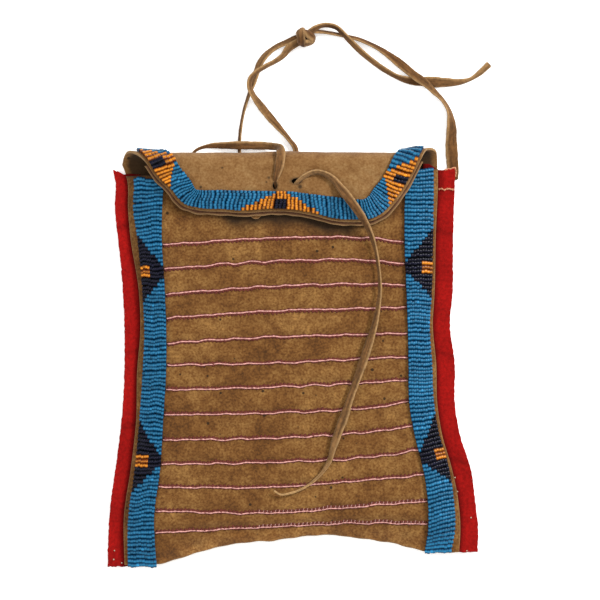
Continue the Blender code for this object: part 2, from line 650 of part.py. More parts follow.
def bead_field(name, mask, keep, place, material, collection):
    """One colour field of a band as a solid: a ridge for each row, drawn in a hair from its neighbours.

    The field starts flat, with X counting beads, Y counting rows and Z the height, and place bends it on."""
    rows, beads = mask.shape
    shape = bmesh.new()
    bmesh.ops.create_grid(shape, x_segments=beads, y_segments=2 * rows, size=0.5)
    for vertex in shape.verts:
        vertex.co = ((vertex.co.x + 0.5) * beads, (vertex.co.y + 0.5) * rows, 0)
    outside = []
    for face in shape.faces:
        middle = face.calc_center_median()
        if not mask[int(middle.y), int(middle.x)]:
            outside.append(face)
    bmesh.ops.delete(shape, geom=outside, context="FACES")
    shift = {}
    for vertex in shape.verts:
        if vertex.is_boundary:
            sides = [face.calc_center_median() - vertex.co for face in vertex.link_faces]
            across = sum(math.copysign(1, way.x) for way in sides)
            along = sum(math.copysign(1, way.y) for way in sides)
            shift[vertex] = (np.sign(across) * SEWN / 2 / (BEAD * 0.62), np.sign(along) * SEWN / 2 / BEAD)
    between = [
        edge for edge in shape.edges
        if len(edge.link_faces) == 2
        and abs(edge.verts[0].co.x - edge.verts[1].co.x) < 1e-4
        and round(edge.verts[0].co.x) not in keep
    ]
    for vertex in shape.verts:
        vertex.co.z = BEAD if on_ridge(vertex) else BEAD_VALLEY
    for vertex, (across, along) in shift.items():
        vertex.co.x += across
        vertex.co.y += along
    bmesh.ops.dissolve_edges(shape, edges=between, use_verts=True)
    lower = bmesh.ops.extrude_face_region(shape, geom=shape.faces[:])["geom"]
    for vertex in (part for part in lower if isinstance(part, bmesh.types.BMVert)):
        vertex.co.z = 0
    spare = [edge for edge in shape.edges if all(on_ridge(vertex) for vertex in edge.verts) and lies_low(edge)]
    bmesh.ops.dissolve_edges(shape, edges=spare, use_verts=True)
    flat = np.array([vertex.co[:] for vertex in shape.verts])
    for vertex, point in zip(shape.verts, np.stack(place(*flat.T), -1)):
        vertex.co = point * MM
    face_outwards(shape)
    mesh = bpy.data.meshes.new(name)
    shape.to_mesh(mesh)
    shape.free()
    in_fixed_order(mesh)
    return add_object(name, mesh, material, collection)


def bead_band(name, colours, keep, place, collection):
    """Every colour field of a band as its own object."""
    labels, names = colour_fields(colours)
    for number, colour in enumerate(names):
        field_name = f"{name}_{number + 1:02d}_{colour}"
        bead_field(field_name, labels == number, keep, place, f"{colour}_glass_beads", collection)


def side_band(side, collection):
    """A side band, bent over the front."""

    def place(bead, row, height):
        y = BAND_TOP - row * BEAD
        outer, inner = band_edges(side, y)
        x = side * (outer + (inner - outer) * bead / SIDE_BEADS)
        return x, y, front_under(x, y) + HIDE + SEWN + height

    name = "left_band" if side < 0 else "right_band"
    bead_band(name, side_colours(side), (SIDE_BEADS // 2,), place, collection)


def flap_band(collection):
    """The flap's band, bent round its three free edges and over the fold."""
    colours = flap_colours()

    def place(bead, row, height):
        outer, inner = flap_band_edges(row / len(colours) * flap_reach()[-1])
        x, s = (outer + (inner - outer) * (bead / FLAP_BEADS)[:, None]).T
        return sheet_point(x, s, HIDE / 2 + SEWN + height)

    bead_band("flap_band", colours, (3, 5), place, collection)


def front_line(number, heights, collection):
    """One stitched line across the front, from band to band."""
    left = -band_edges(-1, heights[0])[1] + LINE / 2
    right = band_edges(1, heights[3])[1] - LINE / 2
    x = np.linspace(left, right, LINE_POINTS)
    y = curve_through(list(zip((left, LINE_MIDDLE, LINE_QUARTER, right), heights)), x)
    z = front_under(x, y) + HIDE + SEWN + LINE / 2
    tube(f"front_line_{number:02d}", np.stack([x, y, z], -1), LINE, "pink_line", collection, 1)


# The thongs

def knot(collection):
    """Turns of thong round both runs: an oval helix in line with them."""
    wrap = THONG + SEWN
    turn = np.linspace(0, 2 * math.pi * KNOT_TURNS, KNOT_POINTS)
    along = (turn / (2 * math.pi) - KNOT_TURNS / 2) * wrap
    across = (KNOT_APART + wrap) * np.cos(turn)
    x = KNOT_MIDDLE[0] + along * math.cos(KNOT_ANGLE) - across * math.sin(KNOT_ANGLE)
    y = KNOT_MIDDLE[1] + along * math.sin(KNOT_ANGLE) + across * math.cos(KNOT_ANGLE)
    z = KNOT_MIDDLE[2] + wrap * np.sin(turn)
    tube("carrying_knot", np.stack([x, y, z], -1), THONG, "thong_hide", collection)


def main():
    """Empty the scene and make the bag."""
    for thing in list(bpy.data.objects):
        bpy.data.objects.remove(thing)
    parts = bpy.data.collections.new("beaded_dispatch_bag")
    cutters = bpy.data.collections.new("slit_cutters")
    for collection in (parts, cutters):
        bpy.context.scene.collection.children.link(collection)
    front_panel(parts)
    back_and_flap(parts, cutters)
    hem_strip(parts)
    for side in (-1, 1):
        wool_strip(side, parts)
        side_band(side, parts)
    flap_band(parts)
    for number, heights in enumerate(LINES, 1):
        front_line(number, heights, parts)
    tube("tie_thong", thong_points(TIE_ROUTE), THONG, "thong_hide", parts)
    tube("carrying_thong", thong_points(CARRY_ROUTE), THONG, "thong_hide", parts)
    knot(parts)


main()
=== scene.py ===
"""The looks of a beaded hide dispatch bag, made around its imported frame.

The bag lies on its back: X runs across it, Y up it towards the flap's fold, Z away from the floor. Sizes are in
millimetres, and MM turns them into metres where a mesh is made. The file is laid out as an add-on: sizes and
colours are properties, each piece or group of like pieces is an operator, and main() calls them in order.
"""
import math

import bpy
import numpy as np
from bpy.props import FloatProperty, FloatVectorProperty, PointerProperty
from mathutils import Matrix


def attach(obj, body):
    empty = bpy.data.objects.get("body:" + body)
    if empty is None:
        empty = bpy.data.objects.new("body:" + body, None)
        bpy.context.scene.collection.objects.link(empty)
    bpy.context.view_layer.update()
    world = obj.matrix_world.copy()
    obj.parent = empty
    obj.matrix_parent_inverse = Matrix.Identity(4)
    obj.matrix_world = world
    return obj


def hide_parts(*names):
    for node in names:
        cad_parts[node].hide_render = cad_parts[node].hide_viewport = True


bl_info = {
    "name": "Beaded Dispatch Bag",
    "version": (1, 0, 0),
    "blender": (4, 5, 0),
    "location": "View3D > Sidebar > Dispatch Bag",
    "description": "A hide bag with bead bands, wool strips, stitched lines and thongs",
    "category": "Add Mesh",
}

MM = 0.001
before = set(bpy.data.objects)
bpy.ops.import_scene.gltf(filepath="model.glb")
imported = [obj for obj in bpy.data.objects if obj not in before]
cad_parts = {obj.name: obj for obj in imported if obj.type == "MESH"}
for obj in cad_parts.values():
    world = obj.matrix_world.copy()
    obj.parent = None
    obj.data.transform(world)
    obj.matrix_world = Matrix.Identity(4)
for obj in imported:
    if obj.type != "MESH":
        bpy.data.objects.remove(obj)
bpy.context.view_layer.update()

# The frame's own sizes
HIDE = 1.4
WOOL = 1.3
SEWN = 0.3  # gap between two sewn layers
BEAD = 2.2  # pitch of the bead rows
THONG = 2.6
HEM = 0.9
HEM_SHOW = 1.9  # how far the hem strip shows past the flap
HEM_TUCK = 3.0  # how far it reaches in under the flap
HEM_CUT = (0, 0, 0, 0, 0, 0, 0.05, 0.4, 1.0)  # how pale the strip is from its tucked edge to its cut edge
TAB_PLACE = (-19.8, 79.6, 11.2)
TAB_SIZE = (3.3, 3.6, 0.8)  # half width, length, and how far its tip sinks
TAB_THICK = 0.7
POCKET = 6.5  # height of the pocket inside
SLOPE = 18.0  # how far in from a side edge the front still rises
BOTTOM_SLOPE = 20.0
SHUT_BETWEEN = (20.0, 32.0)  # from how far in the bottom edge is shut, and fully so
SEAM_TUCK = 8.0  # how far the wool reaches into its seam
FOLD_OUTER = 7.6  # radius of the fold's outside
MOUTH = 99.8
MOUTH_RISE = 4.1  # how much higher the front's top edge lies at the right than at the left
FOOT = -100.0  # where the width of the bottom edge is taken
FLAP_DROOP = 1.7  # how far the flap's end sinks
DROOP_BETWEEN = (26.0, 42.0)
QUARTER = math.pi / 2 * (FOLD_OUTER - HIDE / 2)
SEAM = WOOL + 2 * SEWN

# Grids: columns and rows of the front, columns of the back sheet and its rows up the back, round the fold and
# down the flap, points along the hem, columns and rows of the wool
FRONT_COLUMNS, FRONT_ROWS, SHEET_COLUMNS = 171, 201, 201
SHEET_ROWS = (60, 30, 56)
HEM_STEPS = 480
WOOL_COLUMNS, WOOL_ROWS = 25, 341

# Painted shadow under the flap's middle: where it sets in and ends along X. Painted shade on the fold's inside,
# which
# shows in the rolls at both sides: how far out it begins, and how dark it is.
FLAP_SHADOW_LEFT, FLAP_SHADOW_RIGHT = (-46.0, -30.0), (26.0, 44.0)
ROLL_FROM, ROLL_SHADE = 60.0, 0.88

# The sides at places along Y, from bottom to top: distance of the hide's edge from the middle, width of the wool
# that shows, hide left bare outside the bead band, and width of the band
SIDE_SIZES = ("place", "edge", "wool", "margin", "band")
SIDES = {
    -1: (
        (-114.4, 92.4, 9.4, 2.0, 15.8),
        (-87.0, 92.6, 8.2, 2.8, 14.2),
        (-61.0, 88.8, 8.6, 2.5, 14.0),
        (-34.0, 85.9, 8.1, 2.2, 13.0),
        (-8.0, 85.4, 7.1, 3.4, 12.9),
        (16.0, 83.6, 8.9, 2.6, 11.9),
        (36.0, 84.4, 8.9, 2.3, 12.3),
        (67.0, 89.2, 7.0, 4.2, 13.5),
        (82.0, 90.4, 7.4, 3.2, 15.9),
        (97.6, 90.9, 6.7, 4.0, 16.0),
        (106.0, 93.5, 6.0, 4.6, 16.0),
    ),
    1: (
        (-107.4, 92.1, 10.2, 4.4, 14.9),
        (-96.0, 92.8, 10.0, 3.3, 14.9),
        (-78.0, 91.5, 9.4, 2.9, 14.0),
        (-61.0, 88.0, 10.5, 2.2, 13.5),
        (-43.0, 82.8, 9.9, 2.0, 13.1),
        (-26.0, 80.1, 9.8, 2.2, 13.4),
        (-4.0, 79.5, 10.3, 2.6, 12.9),
        (18.0, 77.6, 9.6, 2.0, 12.1),
        (36.0, 78.6, 10.0, 1.9, 13.9),
        (67.0, 79.2, 9.7, 1.8, 15.7),
        (97.6, 80.4, 9.4, 2.7, 15.6),
        (106.0, 80.3, 9.4, 2.7, 15.6),
    ),
}
# Y of the bottom edge and of the fold's crest at places along X
BOTTOM = (
    (-94.0, -114.6), (-75.0, -114.2), (-61.0, -110.7), (-47.3, -106.2), (-33.6, -103.4), (-6.6, -100.7),
    (16.0, -98.2), (43.5, -100.7), (57.2, -103.0), (72.6, -106.6), (93.0, -107.6),
)
CREST = (
    (-93.0, 113.9), (-88.0, 113.5), (-80.0, 112.7), (-60.0, 112.8), (-28.6, 112.9), (0.0, 113.4),
    (20.0, 112.9), (45.0, 112.7), (63.0, 113.3), (72.0, 115.0), (80.0, 116.2),
)
WOOL_TOP = {-1: (100.9, 103.7), 1: (103.4, 104.0)}  # Y at the hide's edge and at the strip's own
WOOL_BOTTOM = {-1: -115.6, 1: -107.6}
WOOL_TUCKED = {-1: 0.0, 1: 3.6}  # how much higher the tucked edge's top lies
WOOL_EDGE, WOOL_FREE = 0.2, 0.4  # shares of the width at the hide's edge, and where the strip is free of it
WOOL_CREASES = {-1: (73.0, 4.0, -37.0), 1: (70.0, 3.0, -56.0)}  # Y of each crease, painted as a dark band of shade
FOLD_BACK = {-1: (92.5, 93.9), 1: (79.6, 80.3)}  # half width halfway up the fold's back, and where it starts
STRAP_ROOM = 1.3  # how far the right strip is lifted over the strap's end
STRAP_ROOM_FROM = 4.2
STRAP_ROOM_BETWEEN = (85.0, 94.5)

# The flap's bead band: X and the distance round the fold from its crest, of the outer and of the inner edge
FLAP_BAND = (
    (-87.3, 0.0, -79.5, -4.0), (-78.4, 8.8, -66.5, 4.5), (-72.7, 16.9, -60.8, 12.4), (-66.9, 22.7, -56.0, 18.2),
    (-58.4, 32.0, -52.4, 24.0), (-51.0, 33.9, -49.5, 24.4), (-36.9, 34.7, -36.9, 24.4), (-28.6, 35.4, -28.6, 24.7),
    (-10.4, 34.9, -9.9, 25.4), (-3.4, 35.1, -3.4, 25.6), (12.1, 37.2, 11.5, 27.0), (22.6, 39.6, 22.6, 28.0),
    (34.7, 40.2, 33.5, 29.2), (44.3, 39.3, 39.8, 29.0), (50.0, 36.2, 42.6, 26.8), (54.7, 31.2, 44.3, 24.0),
    (61.7, 21.9, 49.7, 17.2), (67.4, 12.3, 55.1, 7.7), (73.3, 0.5, 63.5, -4.0),
)
FLAP_MARGIN = 1.5  # hide that shows outside the flap's beads
FLAP_BEADS, SIDE_BEADS = 7, 10  # in a row
BEAD_LIFT = 0.15  # gap between hide and beads
BAND_TOP = {-1: MOUTH - 1.4, 1: MOUTH - 0.5 + 2 * BEAD}
BAND_BOTTOM = {-1: -115.4, 1: -107.6}
SIDE_MOTIFS = {-1: (47.0, -57.5), 1: (49.8, -53.6)}  # Y of each navy triangle's tip
SQUARE_ROWS = 3
SIDE_SQUARES = {-1: (4, 5), 1: (4, 4)}  # beads across each orange square
SIDE_REACH = (9, 7)  # rows of a triangle above and below its tip
# The flap's triangles: X of the middle, rows before the square, of the square and after it
FLAP_MOTIFS = ((-77.0, 4, 2, 6), (-6.9, 8, 3, 8), (63.2, 6, 2, 5))
FLAP_SQUARE = 4  # beads across

# How far the rows of the side bands slant, outwards and up, at places along Y
ROW_SLANT = {
    -1: ((-114.0, 0.0), (-95.0, -0.06), (-60.0, -0.08), (-40.0, -0.02), (0.0, 0.0), (40.0, -0.05), (99.0, 0.0)),
    1: ((-107.0, 0.1), (-95.0, 0.24), (-75.0, 0.2), (-55.0, 0.24), (-35.0, 0.1), (0.0, 0.0), (99.0, 0.02)),
}

# The front's lines: height of each at the left band, the middle, the right quarter and the right band
LINES = (
    (61.9, 65.7, 65.2, 63.5),
    (48.7, 53.1, 53.1, 51.4),
    (34.9, 39.3, 40.4, 39.9),
    (21.7, 25.6, 27.2, 27.8),
    (8.0, 11.3, 12.9, 13.5),
    (-4.1, -3.0, -0.3, 0.3),
    (-17.9, -16.2, -13.5, -12.4),
    (-31.6, -30.5, -27.2, -24.5),
    (-45.4, -44.3, -40.4, -37.7),
    (-58.6, -57.5, -54.2, -50.9),
    (-71.2, -71.2, -66.8, -64.6),
    (-84.4, -85.5, -81.1, -78.9),
    (-96.5, -93.2, -91.0, -91.6),
)
LINE_MIDDLE = -9.9
LINE_QUARTER = 47.3
LINE_TOOTH = 2.2  # pitch of the teeth beside a strand
TOOTH_HEIGHT = 0.42
LINE_GAP = 0.4  # between a strand's end and the bead band
STRAND_STEP = 0.45  # between a strand's rings
PALE_TEETH_FROM = 11  # the first line with pale teeth

# Thong routes, as in the part's source
TIE_ROUTE = (
    (-56.1, 107, 3.4), (-55.6, 110, 3), (-54.5, 112.9, 2.4), (-52.3, 114.9, 1.6), (-49, 116.2, 1.4),
    (-44, 116.9, 1.5), (-38.5, 116.9, 2.4), (-33.6, 116.9, 3.9), (-28.9, 116.9, 4.5), (-24.2, 116.9, 4.2),
    (-19.2, 116.9, 3), (-14.9, 116.8, 2.4), (-11.3, 116.4, 3.4), (-8.5, 115.9, 7), (-6.7, 114.9, 11.5),
    (-6.1, 112.8, 15), (-6.2, 109.7, 16.7), (-6.8, 105.9, 17), (-7.7, 102, 17), (-8.7, 98.2, 16.7),
    (-9.1, 95.2, 15.2), (-8.2, 92.4, 13.2), (-6.1, 90.5, 12.2), (-3, 90.5, 12.1), (-0.3, 92.1, 12.8),
    (1.7, 94.6, 14.6), (3.9, 97.1, 16.4), (7.2, 99.5, 17), (10.5, 101.1, 17), (14.3, 101.6, 17), (18.2, 100.4, 17),
    (22.9, 97.2, 17.3), (26.4, 93, 18.6), (29.7, 88.8, 19.6), (33, 84.4, 19.6), (36, 80.3, 19.1),
    (38.5, 76.7, 17.8), (40.7, 72.9, 15.4), (42.9, 68.5, 13.3), (44.4, 64.6, 12.9), (46, 58.6, 12.9),
    (47.1, 52, 12.9), (48, 44.8, 12.9), (48.2, 36, 12.9), (47.1, 26.7, 12.9), (45.4, 18.4, 12.9),
    (43.2, 10.7, 12.9), (40.7, 3, 12.9), (38, -5.2, 12.9), (34.9, -14, 12.9), (31.7, -23.2, 12.9),
    (29, -31.4, 12.9), (25.6, -40.4, 12.9), (22.6, -49.2, 12.9), (20.4, -56.9, 12.9), (16.5, -63, 12.9),
    (11.6, -67.9, 12.9), (5.3, -72.1, 12.9), (-1.1, -74.4, 12.9), (-6.6, -75, 12.9), (-9.9, -72.9, 12.9),
)
CARRY_ROUTE = (
    (88.5, 98.2, 1.4), (88.9, 102.9, 1.4), (88.5, 109.7, 1.4), (88.1, 118, 1.4), (88, 129, 1.4), (86.8, 135.6, 1.4),
    (83.6, 141.3, 1.6), (78.2, 146.9, 3.2), (73.3, 151.3, 4.4), (68.2, 155, 4.2), (62.6, 159.8, 2),
    (57, 164.3, 1.4), (50.8, 168.8, 1.4), (43.5, 172.8, 1.4), (36.3, 175.9, 1.4), (29.7, 177.4, 1.4),
    (22.6, 178.8, 1.4), (17.1, 179.8, 1.6), (13.5, 179.9, 2.8), (10.1, 179.5, 4.2), (5.5, 177.5, 4.2),
    (0.9, 175.7, 4.2), (-3.3, 173.7, 2.8), (-8.8, 171.3, 1.4), (-14.3, 167.2, 1.4), (-17.9, 162, 1.4),
    (-19.9, 156.5, 1.4), (-21.7, 151, 1.4), (-24.1, 144.4, 1.4), (-26.4, 136.7, 1.4), (-28.1, 128.4, 1.4),
    (-28.9, 120.7, 1.4), (-29.2, 115.2, 1.5), (-28.9, 111.9, 2.4), (-27.5, 108.4, 3.2), (-24.2, 105.9, 3.4),
    (-18.7, 105.3, 3.4), (-13.2, 105.3, 3.4), (-7.7, 105.3, 3.4), (-2.8, 105.9, 3.4), (0.6, 108.4, 3.2),
    (2, 111.9, 2.4), (1.8, 115.2, 1.5), (-1.4, 119.9, 1.4), (-6.9, 126.4, 1.4), (-12.7, 133.1, 1.4),
    (-17.6, 139.4, 2.2), (-21.5, 144.7, 3.9), (-23.4, 149.3, 4.4), (-22.9, 153.4, 4.4), (-20.2, 156.9, 4.4),
    (-15.1, 160.3, 3.4), (-9.5, 163.5, 1.8), (-5, 166.7, 1.6), (-2.1, 170.3, 3), (2, 173.1, 4.2), (6.2, 175.5, 4.2),
    (9.3, 178.4, 5.2), (12.6, 181.2, 5.6), (15.8, 182.8, 4.8), (19.6, 183.4, 2.6), (24.2, 182.2, 2.2),
    (27.8, 179, 3.9), (30.8, 175.7, 4.4), (33.8, 172.7, 3.6), (38, 168.9, 1.8), (43.5, 164.3, 1.4),
    (50.6, 159.2, 1.4), (58.9, 154.7, 1.4), (66.6, 152.7, 1.4), (75.9, 152.2, 1.4), (84.7, 151.9, 1.4),
    (92.4, 152.1, 1.4), (99, 153.8, 1.4), (104, 157.3, 1.4), (109.1, 162.1, 1.4),
)
# Along each thong: the number of a route point, the width there in mm, and how far the thong is turned about its
# own line, in degrees, where 0 lies flat.
TIE_TURNS = (
    (0, 1.6, 0), (3, 1.6, 0), (4, 2.0, 0), (5, 3.0, 15), (7, 4.5, 20), (10, 4.8, 15), (12, 4.4, 20), (13, 4.2, 20),
    (14, 4.4, 10), (15, 4.9, 0), (17, 5.0, 0), (18, 4.2, 0), (19, 2.8, 0), (20, 1.8, 0), (24, 2.0, 0),
    (26, 2.4, 30), (28, 2.8, 30), (30, 3.2, 20), (31, 3.8, 10), (33, 4.9, 0), (35, 4.7, 15), (37, 3.8, 30),
    (39, 3.0, 40), (40, 2.5, 45), (43, 2.5, 40), (45, 3.6, 30), (47, 4.8, 15), (49, 4.2, 15), (50, 4.2, 30),
    (51, 4.8, 15), (52, 4.7, 10), (53, 3.7, 10), (54, 2.7, 0), (55, 1.9, 0), (56, 1.5, 0), (58, 1.2, 0),
    (60, 1.1, 0),
)
CARRY_TURNS = (
    (0, 6.0, 0), (1, 6.4, 0), (3, 6.8, 0), (4, 6.0, 35), (5, 4.8, 60), (6, 3.2, 50), (7, 3.8, 30), (8, 4.6, 10),
    (9, 4.8, 5), (11, 4.6, 10), (12, 3.8, 35), (13, 3.4, 45), (15, 2.9, 50), (18, 3.0, 50), (21, 3.4, 20),
    (23, 3.6, 35), (25, 4.0, 20), (26, 3.8, 20), (28, 2.6, 50), (30, 2.4, 50), (33, 2.4, 40), (36, 3.6, 0),
    (40, 3.6, 0), (43, 3.0, 40), (44, 3.8, 25), (45, 4.6, 10), (46, 4.6, 25), (47, 4.0, 40), (48, 3.6, 50),
    (49, 3.4, 45), (51, 3.0, 45), (52, 3.0, 40), (53, 3.4, 25), (54, 4.2, 15), (57, 4.0, 20), (59, 3.2, 50),
    (60, 3.2, 40), (62, 3.4, 45), (64, 3.6, 30), (66, 3.4, 30), (68, 3.6, 40), (69, 4.8, 15), (71, 5.2, 5),
    (72, 3.6, 25), (73, 2.6, 50), (74, 3.4, 20), (75, 3.8, 10),
)
# How worn and pale each thong is at its route's points, from 0 to 1
TIE_WORN = (
    (0, 0.0), (9, 0.05), (13, 0.25), (16, 0.1), (20, 0.0), (25, 0.4), (30, 0.2), (34, 0.05), (42, 0.12), (47, 0.1),
    (52, 0.15), (55, 0.4), (57, 0.9), (60, 1.0),
)
CARRY_WORN = (
    (0, 0.0), (4, 0.05), (6, 0.25), (8, 0.1), (12, 0.0), (20, 0.0), (23, 0.2), (26, 0.25), (28, 0.1), (33, 0.0),
    (44, 0.1), (47, 0.2), (49, 0.1), (53, 0.25), (56, 0.2), (60, 0.0), (66, 0.2), (69, 0.0), (72, 0.2), (73, 0.5),
    (75, 0.35),
)
RING_STEP = 0.7  # between the rings of a thong

KNOT_MIDDLE = (7.3, 176.3, 4.6)
KNOT_RINGS = 190
KNOT_WIDTH, KNOT_THICK, KNOT_CUP = 5.6, 2.2, -0.8
# The knot's wraps as offsets in X and Y from its middle, and height above the floor
KNOT_WRAPS = (
    (0.0, 1.0, 2.4), (0.2, 3.4, 3.6), (1.2, 2.9, 6.8), (2.7, 1.4, 8.2), (4.4, -0.2, 6.8), (4.4, -2.0, 4.6),
    (3.0, -3.0, 4.8), (1.0, -3.4, 5.8), (-0.9, -3.6, 5.2), (-2.0, -2.8, 2.8), (-2.4, 0.5, 2.0), (-2.8, 3.5, 3.0),
    (-3.1, 3.6, 6.4), (-2.9, 0.9, 8.4), (-2.6, -2.0, 7.6), (-2.3, -3.8, 4.4), (-1.0, -3.2, 2.4),
)

# The salmon thread round the right strip's top corner, and small pale thread ends
EDGE_THREAD = ((84.0, 103.3, 4.3), (87.0, 104.0, 4.4), (89.8, 104.6, 4.4), (90.5, 102.6, 4.2), (90.4, 99.6, 4.0))
FLECKS = (
    (89.9, -66.4, 3.4), (91.3, -74.1, 3.4), (98.8, -88.5, 3.4), (-98.0, -106.7, 3.4), (-98.4, -111.6, 3.4),
    (-56.2, 82.3, 13.1), (-48.7, 81.3, 13.1), (86.0, -103.5, 3.4), (96.5, -106.8, 3.3), (-94.0, -113.5, 3.3),
)
FLECK_SIZE = (0.6, 0.35, 0.3)
STITCH_Y = 92.7  # of the stitch across the right strip

# Slits, as X, distance round the fold, and half sizes along both
SLITS = (
    (-9.3, 22.4, 1.2, 2.0), (2.3, 20.0, 2.5, 1.5), (-55.0, -6.0, 2.6, 1.4), (-28.9, -6.0, 2.6, 1.4),
    (1.9, -6.0, 2.6, 1.4),
)
# Pricks and stains in the flap's hide, as X, Y and radius
FLAP_PRICKS = ((-49.9, 93.4, 0.8), (-12.7, 98.5, 0.8), (-14.0, 96.2, 0.5), (4.4, 93.6, 1.3), (-38.0, 104.0, 0.6))

# The stage: the floor's half size and how far it lies under the bag, each light's place in metres, size and power,
# and the camera's lens, sensor, middle and width of the view and height of its plane
FLOOR_HALF = 1500.0
FLOOR_BELOW = 0.1
LIGHTS = (
    ("key", (1.5, 1.1, 1.5), 0.5, 60.0), ("fill", (-0.9, -0.2, 1.0), 1.0, 5.0), ("top", (0.1, 0.2, 1.6), 1.2, 6.5),
)
LENS, SENSOR = 150.0, 36.0
VIEW_MIDDLE, VIEW_WIDTH, VIEW_HEIGHT = (4.4, 31.6), 330.0, 8.0


# Properties

def linear(code):
    """Linear values of a colour given as sRGB hex digits."""
    channels = np.array([int(code[i:i + 2], 16) / 255 for i in (0, 2, 4)])
    return tuple(np.where(channels < 0.04045, channels / 12.92, ((channels + 0.055) / 1.055) ** 2.4))


def colour_property(name, code, description):
    """A colour that a user can change."""
    return FloatVectorProperty(
        name=name, description=description, default=linear(code), subtype="COLOR", size=3, min=0, max=1,
    )


def length_property(name, size, description):
    """A length in metres that a user can change, given in mm."""
    return FloatProperty(
        name=name, description=description, default=size * MM, subtype="DISTANCE", unit="LENGTH", min=0,
    )


class BagSizes(bpy.types.PropertyGroup):
    """Sizes of the bag's soft detail."""

    relief: length_property("Relief", 0.55, "Height of the slow waves in the hide")
    bead_height: length_property("Bead height", 2.0, "How far the beads stand up from the hide")
    bead_stagger: FloatProperty(
        name="Bead stagger", description="How unevenly the rows lie, in rows", default=0.05, min=0, max=0.5,
    )
    strand: length_property("Strand", 0.74, "Thickness of the pink strand of a front line")
    thong_thickness: length_property("Thong thickness", 1.3, "Thickness of the hide thongs")
    wool_wave: length_property("Wool wave", 0.35, "Height of the waves in the wool strips")


class BagColours(bpy.types.PropertyGroup):
    """Colours of the bag's materials."""

    smoked_hide: colour_property("Front hide", "6A4820", "Smoked hide of the front")
    flap_hide: colour_property("Flap hide", "765630", "Paler smoked hide of the back and flap")
    thong_hide: colour_property("Thong hide", "553618", "Hide of the thongs")
    hem_hide: colour_property("Hem hide", "4A2C1C", "Hide strip under the flap's edge")
    cut_hide: colour_property("Cut hide", "94744C", "Cut edge and flesh side of the hide")
    red_wool: colour_property("Wool", "880E0B", "Red trade wool")
    blue_beads: colour_property("Blue beads", "24688C", "Blue glass beads")
    navy_beads: colour_property("Navy beads", "0C0C20", "Navy glass beads")
    orange_beads: colour_property("Orange beads", "C87A10", "Orange glass beads")
    strand: colour_property("Strand", "C8938A", "Pink strand of the front lines")
    teeth: colour_property("Teeth", "5A2820", "Maroon thread beside the strand")
    stitches: colour_property("Stitches", "B57C5C", "Salmon stitching thread")
    floor: colour_property("Floor", "F4F3F1", "Studio floor")


# The bag's surfaces

def curve_through(points, x):
    """Height at x of a smooth line through (x, height) points, whose slopes come from the neighbours."""
    xs, ys = np.array(points, float).T
    slope = np.gradient(ys, xs)
    x = np.clip(x, xs[0], xs[-1])
    i = np.clip(np.searchsorted(xs, x) - 1, 0, len(xs) - 2)
    step = xs[i + 1] - xs[i]
    t = (x - xs[i]) / step
    start = (1 + 2 * t) * (1 - t) ** 2 * ys[i] + t * (1 - t) ** 2 * step * slope[i]
    end = t * t * (3 - 2 * t) * ys[i + 1] + t * t * (t - 1) * step * slope[i + 1]
    return start + end


def rise(distance, width):
    """0 at an edge, 1 from width on: 1 - (1 - d / w) squared, rounding over like a parabola."""
    return 1 - (1 - np.clip(distance / width, 0, 1)) ** 2


def ease(value, low, high):
    """0 below low, 1 above high, and 3 t t - 2 t t t between."""
    t = np.clip((value - low) / (high - low), 0, 1)
    return t * t * (3 - 2 * t)


def bump(distance, width):
    """1 in the middle, falling off like a bell: exp(-(d / w) squared)."""
    return np.exp(-(distance / width) ** 2)


def smooth_line(stations, points, at):
    """Coordinates, at the places at, of a smooth line through points that lie at the stations."""
    return stack(*(curve_through(np.column_stack([stations, values]), at) for values in np.array(points).T))


def run_along(points):
    """Distance along a line of points from the first to each of them."""
    return np.concatenate([[0], np.cumsum(np.linalg.norm(np.diff(points, axis=0), axis=1))])


def stack(*parts):
    """Points, or rows of values, from arrays of their coordinates."""
    return np.stack(np.broadcast_arrays(*parts), -1)


def unit(vectors):
    """Vectors made one long."""
    return vectors / np.linalg.norm(vectors, axis=-1, keepdims=True)


def ripple(x, y, wave, seed):
    """Gentle uneven waves from -1 to 1: a sum of seven sines of nearly one wavelength in random directions.

    Where y is 0 they run along x alone."""
    rng = np.random.default_rng(seed)
    turn, phase = rng.uniform(0, 2 * math.pi, (2, 7))
    number = 2 * math.pi / (wave * rng.uniform(0.7, 1.5, 7))
    x, y = np.asarray(x)[..., None], np.asarray(y)[..., None]
    return np.sin(number * (x * np.cos(turn) + y * np.sin(turn)) + phase).sum(-1) / 3.5


def side_size(side, name, y):
    """One of the side stations' sizes at y."""
    column = SIDE_SIZES.index(name)
    return curve_through([(row[0], row[column]) for row in SIDES[side]], y)


def hide_edge(side, y):
    """Distance of the hide's side edge from the middle."""
    return side_size(side, "edge", y)


def between_sides(y, u):
    """X at y, at the share u of the way from the hide's left edge to its right one."""
    return -hide_edge(-1, y) * (1 - u) + hide_edge(1, y) * u


def band_edges(side, y):
    """Distances of a side band's outer and inner edge from the middle."""
    outer = hide_edge(side, y) - side_size(side, "margin", y)
    return outer, outer - side_size(side, "band", y)


def line_height(number, x):
    """Y of a front line at x: a smooth line through its four stations, with a stitcher's small unevenness."""
    heights = LINES[number]
    left, right = -band_edges(-1, heights[0])[1], band_edges(1, heights[3])[1]
    even = curve_through(list(zip((left, LINE_MIDDLE, LINE_QUARTER, right), heights)), x)
    uneven = 0.4 * ripple(x, 40.0 * number, 13.0, 11) + 0.24 * ripple(x, 40.0 * number, 5.0, 12)
    return even + uneven


def from_sides(x, y):
    """Distance from the nearer of the hide's two side edges."""
    return np.minimum(x + hide_edge(-1, y), hide_edge(1, y) - x)


def from_lines(x, y):
    """Distance in Y from the nearest front line."""
    return np.min([np.abs(y - line_height(number, x)) for number in range(len(LINES))], axis=0)


